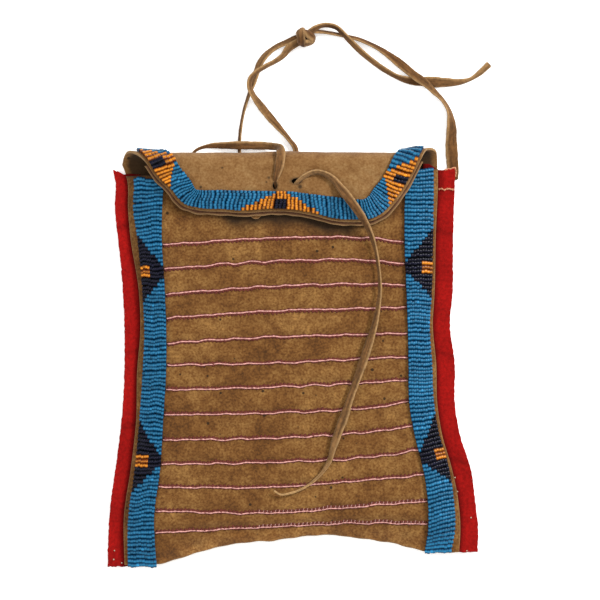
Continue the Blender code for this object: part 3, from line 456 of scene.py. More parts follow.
def front_under(x, y):
    """Height of the front's underside: a seam's gap at the sides, closed at the bottom, full in the middle."""
    from_side, from_bottom = from_sides(x, y), y - curve_through(BOTTOM, x)
    shut = ease(from_side, *SHUT_BETWEEN) * (1 - rise(from_bottom, BOTTOM_SLOPE))
    full = rise(from_side, SLOPE) * rise(from_bottom, BOTTOM_SLOPE)
    return HIDE + SEAM - (SEAM - SEWN) * shut + (POCKET - SEAM) * full


def front_relief(x, y):
    """Waves of the front's hide, a shallow groove under each line and a low swell between the lines."""
    relief = bpy.context.scene.bag_sizes.relief / MM
    inside = ease(from_sides(x, y), 2.0, 16.0)
    groove = 0.55 * ease(from_lines(x, y), 0.3, 5.0) - 0.3
    slow = relief * (0.7 * ripple(x, y, 46.0, 1) + 0.3 * ripple(x, 2.2 * y, 24.0, 2))
    fine = 0.1 * ripple(x, y, 7.0, 3) + 0.05 * ripple(x, y, 3.2, 4)
    return inside * (slow + groove) + fine * (0.3 + 0.7 * inside)


def front_top(x, y):
    """Height of the front's outside."""
    return front_under(x, y) + HIDE + front_relief(x, y)


def sheet_point(x, s, height):
    """A point of the back sheet at distance s round the fold from its crest, height off its middle surface."""
    radius = FOLD_OUTER - HIDE / 2
    middle = curve_through(CREST, x) - FOLD_OUTER
    angle = np.clip(s, -QUARTER, QUARTER) / radius
    past = s - np.clip(s, -QUARTER, QUARTER)
    droop = FLAP_DROOP * ease(s, *DROOP_BETWEEN)
    y = middle + (radius + height) * np.cos(angle) - np.sign(s) * past
    z = FOLD_OUTER + (radius + height) * np.sin(angle) - droop
    return x, y, z


def flap_relief(x, s):
    """Waves of the flap's hide, which die out round the back of the fold."""
    on_flap = ease(s, -QUARTER, QUARTER * 0.5)
    slow = 0.3 * ripple(x, s, 30.0, 5) + 0.12 * ripple(x, 1.6 * s, 11.0, 6)
    return on_flap * (slow + 0.05 * ripple(x, s, 3.4, 7))


def flap_reach():
    """Distance along the flap band's outer edge to each of its stations."""
    return run_along(np.array(FLAP_BAND)[:, :2])


def flap_band_edges(along):
    """The flap band's outer and inner edge, each as X and s, at a distance along its outer edge."""
    at = smooth_line(flap_reach(), FLAP_BAND, along)
    return at[..., :2], at[..., 2:]


def flap_outline(past, steps=240):
    """The flap's edge, past mm outside its beads, in fine steps from left to right, as X and s."""
    outer, inner = flap_band_edges(np.linspace(0, flap_reach()[-1], steps))
    return outer + past * unit(outer - inner)


def flap_corners(outline):
    """Where the flap's outline turns from its slanting sides into its lower edge."""
    lean = np.gradient(outline[:, 1]) / np.gradient(outline[:, 0])
    low = np.flatnonzero(np.abs(lean) < 0.55)
    return low[0], low[-1]


# Meshes

def make_mesh(name, points, quads, material, attributes=None, flat=None):
    """A shaded mesh object from points in mm and quads, turned outwards by the sign of its volume."""
    first, second, third, fourth = np.moveaxis(points[quads], 1, 0)
    volume = (first * (np.cross(second, third) + np.cross(third, fourth))).sum()
    quads = quads if volume > 0 else quads[:, ::-1]
    mesh = bpy.data.meshes.new(name)
    mesh.vertices.add(len(points))
    mesh.vertices.foreach_set("co", (points * MM).ravel().astype(np.float32))
    mesh.loops.add(quads.size)
    mesh.loops.foreach_set("vertex_index", quads.ravel().astype(np.int32))
    mesh.polygons.add(len(quads))
    mesh.polygons.foreach_set("loop_start", np.arange(0, quads.size, 4, dtype=np.int32))
    mesh.update(calc_edges=True)
    mesh.shade_smooth()
    if flat is not None:
        mesh.polygons.foreach_set("use_smooth", ~flat)
    for key, values in (attributes or {}).items():
        mesh.attributes.new(key, "FLOAT", "POINT").data.foreach_set("value", np.asarray(values, np.float32).ravel())
    mesh.materials.append(material)
    thing = bpy.data.objects.new(name, mesh)
    bpy.context.scene.collection.objects.link(thing)
    return thing


def slab(name, top, bottom, material, attributes, keep=None):
    """A closed sheet from two grids of points: both faces, and a wall round the kept cells and every hole.

    An attribute is one grid for both faces, or a pair of them."""
    index = np.arange(top[..., 0].size).reshape(top.shape[:2])
    size = index.size
    cells = stack(index[:-1, :-1], index[:-1, 1:], index[1:, 1:], index[1:, :-1])
    cells = cells.reshape(-1, 4) if keep is None else cells[keep]
    starts, ends = cells.ravel(), np.roll(cells, -1, axis=1).ravel()
    keys = np.minimum(starts, ends) * size + np.maximum(starts, ends)
    _, place, count = np.unique(keys, return_inverse=True, return_counts=True)
    rim = count[place] == 1
    starts, ends = starts[rim], ends[rim]
    walls = stack(ends, starts, starts + size, ends + size)
    used, quads = np.unique(np.concatenate([cells, cells[:, ::-1] + size, walls]), return_inverse=True)
    points = np.concatenate([top.reshape(-1, 3), bottom.reshape(-1, 3)])
    shown = {}
    for key, values in attributes.items():
        pair = values if isinstance(values, tuple) else (values, values)
        shown[key] = np.concatenate([np.ravel(pair[0]), np.ravel(pair[1])])[used]
    return make_mesh(name, points[used], quads.reshape(-1, 4), material, shown)


def oval(across, up):
    """The outline of an oval thread of eight points for each ring, from its half sizes."""
    turn = np.linspace(0, 2 * math.pi, 8, endpoint=False)
    return stack(np.outer(across, np.cos(turn)), np.outer(up, np.sin(turn)))


def sweep(name, centres, outline, material, directions=None, attributes=None):
    """A closed tube: an outline of (across, out) offsets for each ring, carried along the centres.

    The directions are two unit vectors for each ring; without them, across is level. An attribute has a value for
    each ring."""
    rings, around = outline.shape[:2]
    if directions is None:
        way = unit(np.gradient(centres, axis=0))
        level = unit(np.cross((0.0, 0.0, 1.0), way))
        directions = level, np.cross(way, level)
    sideways, outwards = directions
    points = centres[:, None] + outline[..., :1] * sideways[:, None] + outline[..., 1:] * outwards[:, None]
    points = np.concatenate([points.reshape(-1, 3), centres[[0]], centres[[-1]]])
    ring = np.arange(rings * around).reshape(rings, around)
    turned = np.roll(ring, -1, axis=1)
    body = stack(ring[:-1], ring[1:], turned[1:], turned[:-1]).reshape(-1, 4)
    half = np.arange(0, around, 2)
    caps = []
    for row, middle, order in ((0, rings * around, (0, 1, 2, 3)), (-1, rings * around + 1, (0, 3, 2, 1))):
        fan = [np.full(len(half), middle), *(ring[row][(half + step) % around] for step in range(3))]
        caps.append(stack(*fan)[:, order])
    across = np.clip(outline[..., 0] / np.abs(outline[..., 0]).max(axis=1, keepdims=True), -1, 1)
    values = {"across": np.append(across.ravel(), [0, 0])}
    for key, each in {"along": run_along(centres), **(attributes or {})}.items():
        values[key] = np.append(np.repeat(each, around), (each[0], each[-1]))
    return make_mesh(name, points, np.concatenate([body, *caps]), material, values)


def bead_form():
    """A seed bead as unit points and quads: rings of eight along its hole, fullest in the middle, flat ends."""
    along = np.repeat((-0.5, -0.4, 0.0, 0.4, 0.5), 8)
    full = oval((0.93, 0.99, 1.0, 0.99, 0.93), (0.93, 0.99, 1.0, 0.99, 0.93)).reshape(-1, 2)
    ring = np.arange(40).reshape(5, 8)
    turned = np.roll(ring, -1, axis=1)
    body = stack(ring[:-1], turned[:-1], turned[1:], ring[1:]).reshape(-1, 4)
    caps = [loop[[[0, 1, 2, 3], [0, 3, 4, 7], [4, 5, 6, 7]]] for loop in (ring[0, ::-1], ring[-1])]
    return np.column_stack([along, full]), np.concatenate([body, *caps]), np.repeat((False, True), (len(body), 6))


def bead_copies(name, middle, axes, material, attributes=None):
    """One mesh of bead forms, each at its middle and stretched along its three axes; flat ends if it has values."""
    form, quads, flat = bead_form()
    points = middle[:, None] + np.einsum("kc,ncd->nkd", form, axes)
    every = (quads + np.arange(len(middle))[:, None, None] * len(form)).reshape(-1, 4)
    flat = np.tile(flat, len(middle)) if attributes else None
    return make_mesh(name, points.reshape(-1, 3), every, material, attributes, flat)


def dress(piece, slot, *nodes):
    """Let a piece ride with the bag and stand for its solids, which it hides. The slot is not used."""
    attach(piece, "root")
    if nodes:
        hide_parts(*nodes)
    return piece


# Materials

def add_node(tree, kind, inputs=None, **settings):
    """A node with its settings, its values and its links."""
    node = tree.nodes.new(kind)
    for name, value in settings.items():
        setattr(node, name, value)
    for name, value in (inputs or {}).items():
        if isinstance(value, bpy.types.NodeSocket):
            tree.links.new(value, node.inputs[name])
        else:
            node.inputs[name].default_value = value
    return node


def new_material(name, roughness, **sockets):
    """A material with its shader's constant sockets set."""
    material = bpy.data.materials.new(name)
    material.use_nodes = True
    shader = material.node_tree.nodes["Principled BSDF"]
    shader.inputs["Roughness"].default_value = roughness
    for socket, value in sockets.items():
        shader.inputs[socket.replace("_", " ")].default_value = value
    return material, material.node_tree, shader


def shade(colour, factor):
    """A colour made lighter or darker, with its alpha."""
    return (*np.clip(np.array(colour) * factor, 0, 1), 1.0)


def mix(tree, factor, first, second):
    """The socket of a mix of two colours."""
    node = add_node(tree, "ShaderNodeMix", {0: factor, 6: first, 7: second}, data_type="RGBA")
    return node.outputs[2]


def attribute(tree, name):
    """The socket of one of a mesh's own values."""
    return add_node(tree, "ShaderNodeAttribute", attribute_name=name).outputs["Fac"]


def scaled(tree, colour, factor):
    """The socket of a colour times a factor."""
    node = add_node(tree, "ShaderNodeVectorMath", {0: colour, "Scale": factor}, operation="SCALE")
    return node.outputs["Vector"]


def ranged(tree, value, *span, smooth=False):
    """The socket of a value carried from one range to another, given as From Min, From Max, To Min and To Max."""
    inputs = {"Value": value, **dict(zip(("From Min", "From Max", "To Min", "To Max"), span))}
    kind = "SMOOTHSTEP" if smooth else "LINEAR"
    return add_node(tree, "ShaderNodeMapRange", inputs, interpolation_type=kind).outputs["Result"]


def cloud(tree, place, size, detail, roughness):
    """The socket of noise with patches of a size in mm."""
    inputs = {"Vector": place, "Scale": 1 / (size * MM), "Detail": detail, "Roughness": roughness}
    return add_node(tree, "ShaderNodeTexNoise", inputs).outputs["Fac"]


def mottled(tree, place, *layers):
    """A factor round 1 from noise layers, each a patch size in mm, a detail, and its darkest and lightest value."""
    product = None
    for size, detail, low, high in layers:
        layer = ranged(tree, cloud(tree, place, size, detail, 0.6), 0.36, 0.64, low, high)
        if product is not None:
            layer = add_node(tree, "ShaderNodeMath", {0: product, 1: layer}, operation="MULTIPLY").outputs["Value"]
        product = layer
    return product


def napped(tree, shader, place, size, strength):
    """Give a shader the bumps of a nap of short fibres, size mm apart."""
    inputs = {"Height": cloud(tree, place, size, 4.0, 0.7), "Strength": strength, "Distance": 0.35 * MM}
    tree.links.new(add_node(tree, "ShaderNodeBump", inputs).outputs["Normal"], shader.inputs["Normal"])


def suede(name, colour, blotch=26.0, contrast=1.0, specks=0.5):
    """Brain-tanned, smoked hide: a dull nap, cloudy smoke stains, fine mottling and a few dark pores.

    The clouds come from the smoke, the mottling of 5 mm from scraping, that of 1 mm from the nap, and the pores
    are hair roots that took more smoke. Dark patches are redder and light ones yellower."""
    cut_hide = bpy.context.scene.bag_colours.cut_hide
    material, tree, shader = new_material(
        name, 0.95, Sheen_Weight=0.08, Sheen_Roughness=0.6, Specular_IOR_Level=0.15,
    )
    place = add_node(tree, "ShaderNodeTexCoord").outputs["Object"]
    sizes = ((blotch, 3.0, 0.32, 0.28), (5.0, 4.0, 0.24, 0.2), (1.2, 3.0, 0.34, 0.34))
    factor = mottled(tree, place, *((*size, 1 - low * contrast, 1 + high * contrast) for *size, low, high in sizes))
    red, yellow = (shade(colour, tint) for tint in ((1.12, 0.93, 0.7), (0.96, 1.04, 1.2)))
    shown = scaled(tree, mix(tree, ranged(tree, factor, 0.6, 1.4), red, yellow), factor)
    pores = add_node(tree, "ShaderNodeTexVoronoi", {"Vector": place, "Scale": 1 / (7.5 * MM), "Randomness": 1.0})
    chosen = add_node(tree, "ShaderNodeSeparateColor", {"Color": pores.outputs["Color"]}).outputs["Red"]
    size = ranged(tree, chosen, 1 - specks, 1.0, -0.02, 0.135)
    near = add_node(
        tree, "ShaderNodeMath", {0: size, 1: pores.outputs["Distance"]}, operation="SUBTRACT",
    ).outputs["Value"]
    shown = mix(tree, ranged(tree, near, -0.015, 0.015, 0.0, 0.9), shown, shade(colour, 0.12))
    shown = scaled(tree, shown, ranged(tree, attribute(tree, "worn"), 0.0, 1.0, 1.0, 1.85))
    # This value darkens the hide both for real stains round the slits and pricks, and for painted shade and painted
    # shadow: under the flap, along the front's mouth and inside the rolls.
    shown = mix(tree, attribute(tree, "stain_and_shade"), shown, shade(colour, 0.1))
    shown = mix(tree, attribute(tree, "cut"), shown, shade(cut_hide, 1.0))
    tree.links.new(shown, shader.inputs["Base Color"])
    napped(tree, shader, place, 0.9, 0.6)
    return material


def thong_suede():
    """Cut hide thong: long streaks from stretching, and paler cut edges, one of them broad and bevelled."""
    colours = bpy.context.scene.bag_colours
    material, tree, shader = new_material("hide thong", 0.92, Sheen_Weight=0.08, Specular_IOR_Level=0.2)
    place = add_node(tree, "ShaderNodeTexCoord").outputs["Object"]
    across = attribute(tree, "across")
    own = add_node(tree, "ShaderNodeCombineXYZ", {"X": attribute(tree, "along"), "Y": across}).outputs["Vector"]
    stretched = add_node(
        tree, "ShaderNodeMapping", {"Vector": own, "Scale": (0.08 * MM, 1.6 * MM, 1.0)},
    ).outputs["Vector"]
    streaks = mottled(tree, stretched, (1.0, 3.0, 0.6, 1.4))
    shown = mix(tree, attribute(tree, "pale"), shade(colours.thong_hide, 1.0), shade(colours.cut_hide, 1.15))
    shown = scaled(tree, shown, streaks)
    for low, high, share, tint in ((0.35, 0.95, 0.8, 1.1), (-0.75, -1.0, 0.6, 0.8)):
        rim = ranged(tree, across, low, high, 0.0, share, smooth=True)
        shown = mix(tree, rim, shown, shade(colours.cut_hide, tint))
    shown = scaled(tree, shown, mottled(tree, place, (1.6, 3.0, 0.8, 1.2)))
    tree.links.new(shown, shader.inputs["Base Color"])
    napped(tree, shader, place, 0.8, 0.5)
    return material


def felted_wool():
    """Red trade wool, fulled until the weave is hidden: a soft nap and a faint sheen."""
    colours = bpy.context.scene.bag_colours
    material, tree, shader = new_material(
        "felted wool", 1.0, Sheen_Weight=0.15, Sheen_Roughness=0.5, Specular_IOR_Level=0.08,
        Sheen_Tint=shade(linear("FF9A8A"), 1.0),
    )
    place = add_node(tree, "ShaderNodeTexCoord").outputs["Object"]
    shown = scaled(
        tree, tuple(colours.red_wool), mottled(tree, place, (20.0, 3.0, 0.85, 1.12), (1.6, 4.0, 0.8, 1.2)),
    )
    # Painted shade on the wool, darker next to the hide and at its creases.
    shown = mix(tree, attribute(tree, "stain_and_shade"), shown, shade(colours.red_wool, 0.22))
    tree.links.new(shown, shader.inputs["Base Color"])
    napped(tree, shader, place, 0.7, 0.6)
    return material


def seed_bead_glass(name, colour, flank_shade, specular):
    """Drawn glass seed beads, opaque and tumbled: a lighter crest, and flanks in painted shade down to the furrow
    between rows.
    """
    material, tree, shader = new_material(name, 0.32, IOR=1.5, Specular_IOR_Level=specular)
    lit = ranged(tree, attribute(tree, "crest"), 0.68, 1.0, smooth=True)
    shown = scaled(tree, mix(tree, lit, shade(flank_shade, 1.0), shade(colour, 1.0)), attribute(tree, "tone"))
    tree.links.new(shown, shader.inputs["Base Color"])
    return material


def thread(name, colour, size):
    """Spun thread or dyed quill: short strokes of light and dark along its ply."""
    material, tree, shader = new_material(name, 0.8, Specular_IOR_Level=0.2)
    place = add_node(tree, "ShaderNodeTexCoord").outputs["Object"]
    shown = scaled(tree, tuple(colour), mottled(tree, place, (size, 3.0, 0.7, 1.25)))
    tree.links.new(shown, shader.inputs["Base Color"])
    return material


# Stage

class BAG_OT_stage(bpy.types.Operator):
    """Make the pale floor, the soft studio lights and the camera."""

    bl_idname = "bag.stage"
    bl_label = "Stage"

    def execute(self, context):
        scene = context.scene
        material, _, _ = new_material(
            "lit white acrylic floor", 0.9, Specular_IOR_Level=0.1, Base_Color=shade(scene.bag_colours.floor, 1.0),
            Emission_Color=(1, 1, 1, 1), Emission_Strength=0.4,
        )
        corners = np.array([(x, y, -FLOOR_BELOW / FLOOR_HALF) for x, y in ((-1, -1), (1, -1), (1, 1), (-1, 1))])
        mesh = bpy.data.meshes.new("floor")
        mesh.from_pydata((corners * FLOOR_HALF * MM).tolist(), [], [(0, 1, 2, 3)])
        mesh.materials.append(material)
        floor = bpy.data.objects.new("floor", mesh)
        scene.collection.objects.link(floor)
        scene.world = scene.world or bpy.data.worlds.new("studio")
        scene.world.use_nodes = True
        sky = scene.world.node_tree.nodes["Background"]
        sky.inputs["Color"].default_value = (1, 1, 1, 1)
        sky.inputs["Strength"].default_value = 0.58
        for name, place, size, power in LIGHTS:
            lamp = bpy.data.lights.new(name, "AREA")
            lamp.size = size
            lamp.energy = power
            thing = bpy.data.objects.new(name, lamp)
            thing.location = place
            aim = unit(np.array(place))
            thing.rotation_euler = (math.acos(aim[2]), 0, math.atan2(aim[1], aim[0]) + math.pi / 2)
            scene.collection.objects.link(thing)
        camera = bpy.data.objects.new("camera", bpy.data.cameras.new("camera"))
        camera.data.lens = LENS
        camera.data.sensor_width = SENSOR
        camera.location = np.array((*VIEW_MIDDLE, VIEW_HEIGHT + VIEW_WIDTH * LENS / SENSOR)) * MM
        scene.collection.objects.link(camera)
        scene.camera = camera
        scene.view_settings.view_transform = "Standard"
        return {"FINISHED"}


# Thongs

def smoothed(values):
    """A row of values with a soft window of 15 run over it."""
    window = np.hanning(15) / np.hanning(15).sum()
    return np.convolve(np.pad(values, 7, mode="edge"), window, mode="valid")


def thong_line(route, turns, worn):
    """Ring centres, directions and sizes of a thong: its route smoothed, resting where its round solid rests."""
    at = run_along(route)
    run = np.linspace(0, at[-1], int(at[-1] / RING_STEP))
    line = smooth_line(at, route, run)
    number, widths, angles = np.array(turns, float).T
    stations = np.interp(number, np.arange(len(at)), at)
    uneven = 0.05 * ripple(run, 0, 9.0, len(route)) + 0.03 * ripple(run, 0, 3.0, 8)
    width = curve_through(np.column_stack([stations, widths]), run) * (1 + uneven)
    angle = smoothed(np.radians(np.interp(run, stations, angles)))
    thick = bpy.context.scene.bag_sizes.thong_thickness / MM * np.clip(width / 3.0, 0.45, 1.0)
    line[:, 2] += (np.abs(np.sin(angle)) * width + np.abs(np.cos(angle)) * thick - THONG) / 2
    way = np.gradient(line, axis=0)
    level = stack(*map(smoothed, unit(np.cross((0.0, 0.0, 1.0), way)).T))
    way = unit(way)
    level = unit(level - (level * way).sum(1)[:, None] * way)
    across = np.cos(angle)[:, None] * level + np.sin(angle)[:, None] * np.cross(way, level)
    point, share = np.array(worn).T
    pale = np.interp(run, np.interp(point, np.arange(len(at)), at), share)
    return line, (across, np.cross(way, across)), width, thick, pale


def ribbon_outline(width, thick, cup):
    """Flat rounded section for each ring: a superellipse of 14 points whose edges curl up by cup."""
    turn = np.linspace(0, 2 * math.pi, 14, endpoint=False)
    flat = np.sign(np.cos(turn)) * np.abs(np.cos(turn)) ** 0.6
    tall = np.sign(np.sin(turn)) * np.abs(np.sin(turn)) ** 0.8
    up = thick[:, None] / 2 * tall + cup[:, None] * flat ** 2
    return stack(width[:, None] / 2 * flat, up)


def make_thong(node, material, route, turns, worn):
    """A thong carried along its route, with ends that close to a blunt tip."""
    line, directions, width, thick, pale = thong_line(route, turns, worn)
    ring = np.arange(len(line))
    blunt = np.sqrt(np.clip((np.minimum(ring, ring[::-1]) + 2.0) / 3.0, 0, 1))
    cup = 0.18 * thick * ripple(ring * 0.8, 0, 14.0, 9)
    outline = ribbon_outline(width * blunt, thick * blunt, cup)
    piece = dress(sweep(f"{node}_lace", line, outline, material, directions, {"pale": pale}), "thong_hide", node)
    run_along(line)[-1] * MM


class BAG_OT_thongs(bpy.types.Operator):
    """Make the tie thong, the carrying thong and its knot."""

    bl_idname = "bag.thongs"
    bl_label = "Thongs"

    def execute(self, context):
        material = thong_suede()
        number = np.arange(len(KNOT_WRAPS))
        step = np.linspace(0, number[-1], KNOT_RINGS)
        centre = smooth_line(number, KNOT_WRAPS, step)
        out = centre - (0, 0, KNOT_MIDDLE[2])
        centre = centre + (*KNOT_MIDDLE[:2], 0)
        way = unit(np.gradient(centre, axis=0))
        out = unit(out - (out * way).sum(1)[:, None] * way)
        width = KNOT_WIDTH * (1 + 0.08 * np.sin(1.3 * step))
        outline = ribbon_outline(width, np.full(KNOT_RINGS, KNOT_THICK), KNOT_CUP + 0.2 * np.cos(1.1 * step))
        # The knot's hide is a little paler than the thong's, and paler and darker in turn along its wraps as
        # painted light and shade.
        pale = 0.15 + 0.15 * np.cos(step * 1.1)
        knot = sweep("thong_knot", centre, outline, material, (np.cross(way, out), out), {"pale": pale})
        dress(knot, "thong_hide", "carrying_knot")
        make_thong("carrying_thong", material, CARRY_ROUTE, CARRY_TURNS, CARRY_WORN)
        make_thong("tie_thong", material, TIE_ROUTE, TIE_TURNS, TIE_WORN)
        return {"FINISHED"}


# Hide

class BAG_OT_front(bpy.types.Operator):
    """Make the front panel: a domed sheet that comes down to its seams."""

    bl_idname = "bag.front"
    bl_label = "Front panel"

    def execute(self, context):
        u, v = crowded(FRONT_COLUMNS)[None, :], np.linspace(0, 1, FRONT_ROWS)[:, None]
        foot = curve_through(BOTTOM, between_sides(FOOT, u)) + 0.35 * ripple(u * 180, 0, 12.0, 21)
        y = foot + (MOUTH + MOUTH_RISE * u - foot) * (0.6 * v + 0.4 * v * v)
        x = between_sides(y, u)
        under, top = front_under(x, y) + front_relief(x, y), front_top(x, y)
        cut = np.zeros_like(x)
        cut[0, :] = 0.8
        cut[:, [0, -1]] = 0.45
        worn = 0.6 * bump(y - foot, 7.0) * np.clip(0.7 + 0.5 * ripple(x, y, 14.0, 25), 0, 1)
        # Painted shadow of the flap on the front: darkest along the flap's edge, and deeper and wider under its
        # middle.
        edge = flap_outline(FLAP_MARGIN + HEM_SHOW)
        edge = edge[edge[:, 1] > QUARTER]
        below = np.clip(np.interp(x, edge[:, 0], sheet_point(*edge.T, 0)[1]) - y, 0, None)
        spread = ease(x, *FLAP_SHADOW_LEFT) * (1 - ease(x, *FLAP_SHADOW_RIGHT))
        far = 5.8 + 1.2 * ripple(x, 0, 16.0, 22)
        shaded = 0.45 * np.exp(-below / 3.0) + 1.05 * spread * bump(below, far)
        shaded = shaded * (x > edge[0, 0]) * (x < edge[-1, 0]) * (0.85 + 0.15 * ripple(x, y, 7.0, 23))
        # The hide is darker within a few mm of each line.
        darker_near_lines = 0.22 * bump(from_lines(x, y), 2.0) * (0.7 + 0.3 * ripple(x, y, 9.0, 24))
        # Painted shade under the flap along the front's top edge.
        shaded = np.clip(shaded + darker_near_lines + 0.7 * bump(y[-1] - y, 1.2), 0, 0.95)
        material = suede("smoked hide", context.scene.bag_colours.smoked_hide, 24.0, 1.1, 1.0)
        shown = {"cut": cut, "stain_and_shade": shaded, "worn": worn}
        piece = slab("front_hide", stack(x, y, top), stack(x, y, under), material, shown)
        dress(piece, "smoked_hide", "front_panel")
        return {"FINISHED"}


def crowded(count):
    """Places from 0 to 1 that lie closer towards both ends: half even steps, half a cosine's."""
    u = np.linspace(0, 1, count)
    return 0.5 * u + 0.25 * (1 - np.cos(math.pi * u))


def sheet_grid():
    """X and s of every row of the back sheet: up the back, round the fold, down the flap."""
    outline = flap_outline(FLAP_MARGIN)
    corners = flap_corners(outline)
    lower = outline[corners[0]:corners[1] + 1]
    sides = {-1: outline[: corners[0] + 1], 1: outline[corners[1]:][::-1]}
    u = crowded(SHEET_COLUMNS)[None, :]

    def edge(side, s):
        halfway, start = FOLD_BACK[side]
        outer = sides[side][:, ::-1]
        bend = [(-QUARTER, side * start), (-QUARTER / 2, side * halfway), *outer[[0, 8]]]
        return np.where(s < outer[0, 0], curve_through(bend, s), np.interp(s, *outer.T))

    up_back, round_fold, down_flap = SHEET_ROWS
    share = np.linspace(0, 1, up_back, endpoint=False)[:, None]
    foot_x = between_sides(FOOT, u)
    foot = curve_through(BOTTOM, foot_x)
    height = curve_through(CREST, foot_x) - FOLD_OUTER - foot
    back_y = foot + height * share
    back_x = between_sides(back_y, u)
    back_s = -QUARTER - height * (1 - share)
    fold_s = np.linspace(-QUARTER, QUARTER, round_fold, endpoint=False)[:, None] + 0 * u
    fold_x = edge(-1, fold_s) * (1 - u) + edge(1, fold_s) * u
    share = np.linspace(0, 1, down_flap)[:, None]
    ends = [QUARTER + (corner[1] - QUARTER) * share for corner in (lower[0], lower[-1])]
    flap_x = edge(-1, ends[0]) * (1 - u) + edge(1, ends[1]) * u
    low = np.interp(lower[0, 0] * (1 - u) + lower[-1, 0] * u, lower[:, 0], lower[:, 1])
    flap_s = QUARTER + (low - QUARTER) * share
    return np.concatenate([back_x, fold_x, flap_x]), np.concatenate([back_s, fold_s, flap_s])


class BAG_OT_back_and_flap(bpy.types.Operator):
    """Make the back, the fold and the flap, one sheet with the thongs' slits through it."""

    bl_idname = "bag.back_and_flap"
    bl_label = "Back and flap"

    def execute(self, context):
        x, s = sheet_grid()
        keep = np.ones((x.shape[0] - 1, x.shape[1] - 1), bool)
        stain_and_shade = np.zeros_like(x)
        for middle_x, middle_s, half_x, half_s in SLITS:
            away = np.hypot((x - middle_x) / half_x, (s - middle_s) / half_s)
            cell = (away[:-1, :-1] + away[1:, :-1] + away[:-1, 1:] + away[1:, 1:]) / 4
            gone = cell < 1
            keep &= ~gone
            touched, kept = np.zeros((2, *away.shape), bool)
            for rows in (slice(None, -1), slice(1, None)):
                for columns in (slice(None, -1), slice(1, None)):
                    touched[rows, columns] |= gone
                    kept[rows, columns] |= ~gone
            rim = touched & kept
            x = np.where(rim, middle_x + (x - middle_x) / away, x)
            s = np.where(rim, middle_s + (s - middle_s) / away, s)
            stain_and_shade = np.maximum(stain_and_shade, 0.75 * bump(np.maximum(away - 1, 0), 0.45))
        y = sheet_point(x, s, 0)[1]
        for prick_x, prick_y, radius in FLAP_PRICKS:
            away = np.hypot(x - prick_x, y - prick_y)
            stain_and_shade = np.maximum(stain_and_shade, (s > QUARTER) * 0.9 * np.exp(-(away / radius) ** 4))
        relief = flap_relief(x, s)
        top, bottom = (stack(*sheet_point(x, s, half + relief)) for half in (HIDE / 2, -HIDE / 2))
        cut = np.zeros_like(x)
        cut[[0, -1], :] = 0.9
        cut[:, [0, -1]] = 0.8
        # Painted shade on the inside of the fold where it shows in the rolls at both sides; a pale rim is left
        # along the sheet's edge.
        from_edge = np.where(x < 0, x - x[:, :1], x[:, -1:] - x)
        hidden = ROLL_SHADE * (s < 0) * (np.abs(x) > ROLL_FROM) * ease(from_edge, 1.0, 4.5)
        hidden = hidden * ease(s, -QUARTER * 3.0, -QUARTER * 1.2)
        material = suede("pale smoked hide", context.scene.bag_colours.flap_hide, 30.0, 0.6, 0.35)
        shown = {"cut": cut, "stain_and_shade": (stain_and_shade, np.maximum(stain_and_shade, hidden))}
        piece = slab("hide_back_and_flap", top, bottom, material, shown, keep)
        dress(piece, "flap_hide", "back_and_flap")
        return {"FINISHED"}


class BAG_OT_hem(bpy.types.Operator):
    """Make the hide strip under the flap's edge, dark with a pale cut edge, and its small tab."""

    bl_idname = "bag.hem"
    bl_label = "Hem strip"

    def execute(self, context):
        outline, inside = (flap_outline(FLAP_MARGIN + past, HEM_STEPS) for past in (HEM_SHOW, -HEM_TUCK))
        flat = np.flatnonzero((outline[:, 1] > QUARTER) & (inside[:, 1] > QUARTER - 2))
        index = np.arange(flat[0], flat[-1] + 1)
        u = np.linspace(0, 1, len(HEM_CUT))[:, None, None]
        wave = 0.25 * ripple(outline[index, 0], outline[index, 1], 9.0, 31)[:, None]
        edge = outline[index] + wave * (outline[index] - inside[index]) / (HEM_SHOW + HEM_TUCK)
        place = edge * u + inside[index] * (1 - u)
        x, s = place[..., 0], place[..., 1]
        lift = -HIDE / 2 - SEWN + 0.5 * flap_relief(x, s)
        cut = np.repeat(np.array(HEM_CUT)[:, None], len(index), 1)
        material = suede("hem hide", context.scene.bag_colours.hem_hide, 12.0, 0.8, 0.2)
        top, bottom = (stack(*sheet_point(x, s, height)) for height in (lift, lift - HEM))
        piece = slab("hem_hide", top, bottom, material, {"cut": cut, "stain_and_shade": np.zeros_like(x)})
        dress(piece, "thong_hide", "flap_hem_strip")
        turn = np.linspace(0, math.pi, 24)[None, :]
        grow = np.linspace(0, 1, 7)[:, None]
        across, down, sink = TAB_SIZE
        form = (across * np.cos(turn) * (0.35 + 0.65 * grow), -down * np.sin(turn) * grow, -sink * grow)
        points = stack(*form) + TAB_PLACE
        plain = {"cut": 0.8 * (grow == 1) + 0 * turn, "stain_and_shade": 0 * points[..., 0]}
        material = suede("tab hide", context.scene.bag_colours.flap_hide, 20.0)
        dress(slab("hem_tab", points, points - (0, 0, TAB_THICK), material, plain), "thong_hide")
        return {"FINISHED"}


# Wool

def strap_room(past, y):
    """How much the right strip is lifted over the strap's end, past mm outside the hide."""
    return STRAP_ROOM * ease(past, SEWN, STRAP_ROOM_FROM) * ease(y, *STRAP_ROOM_BETWEEN)


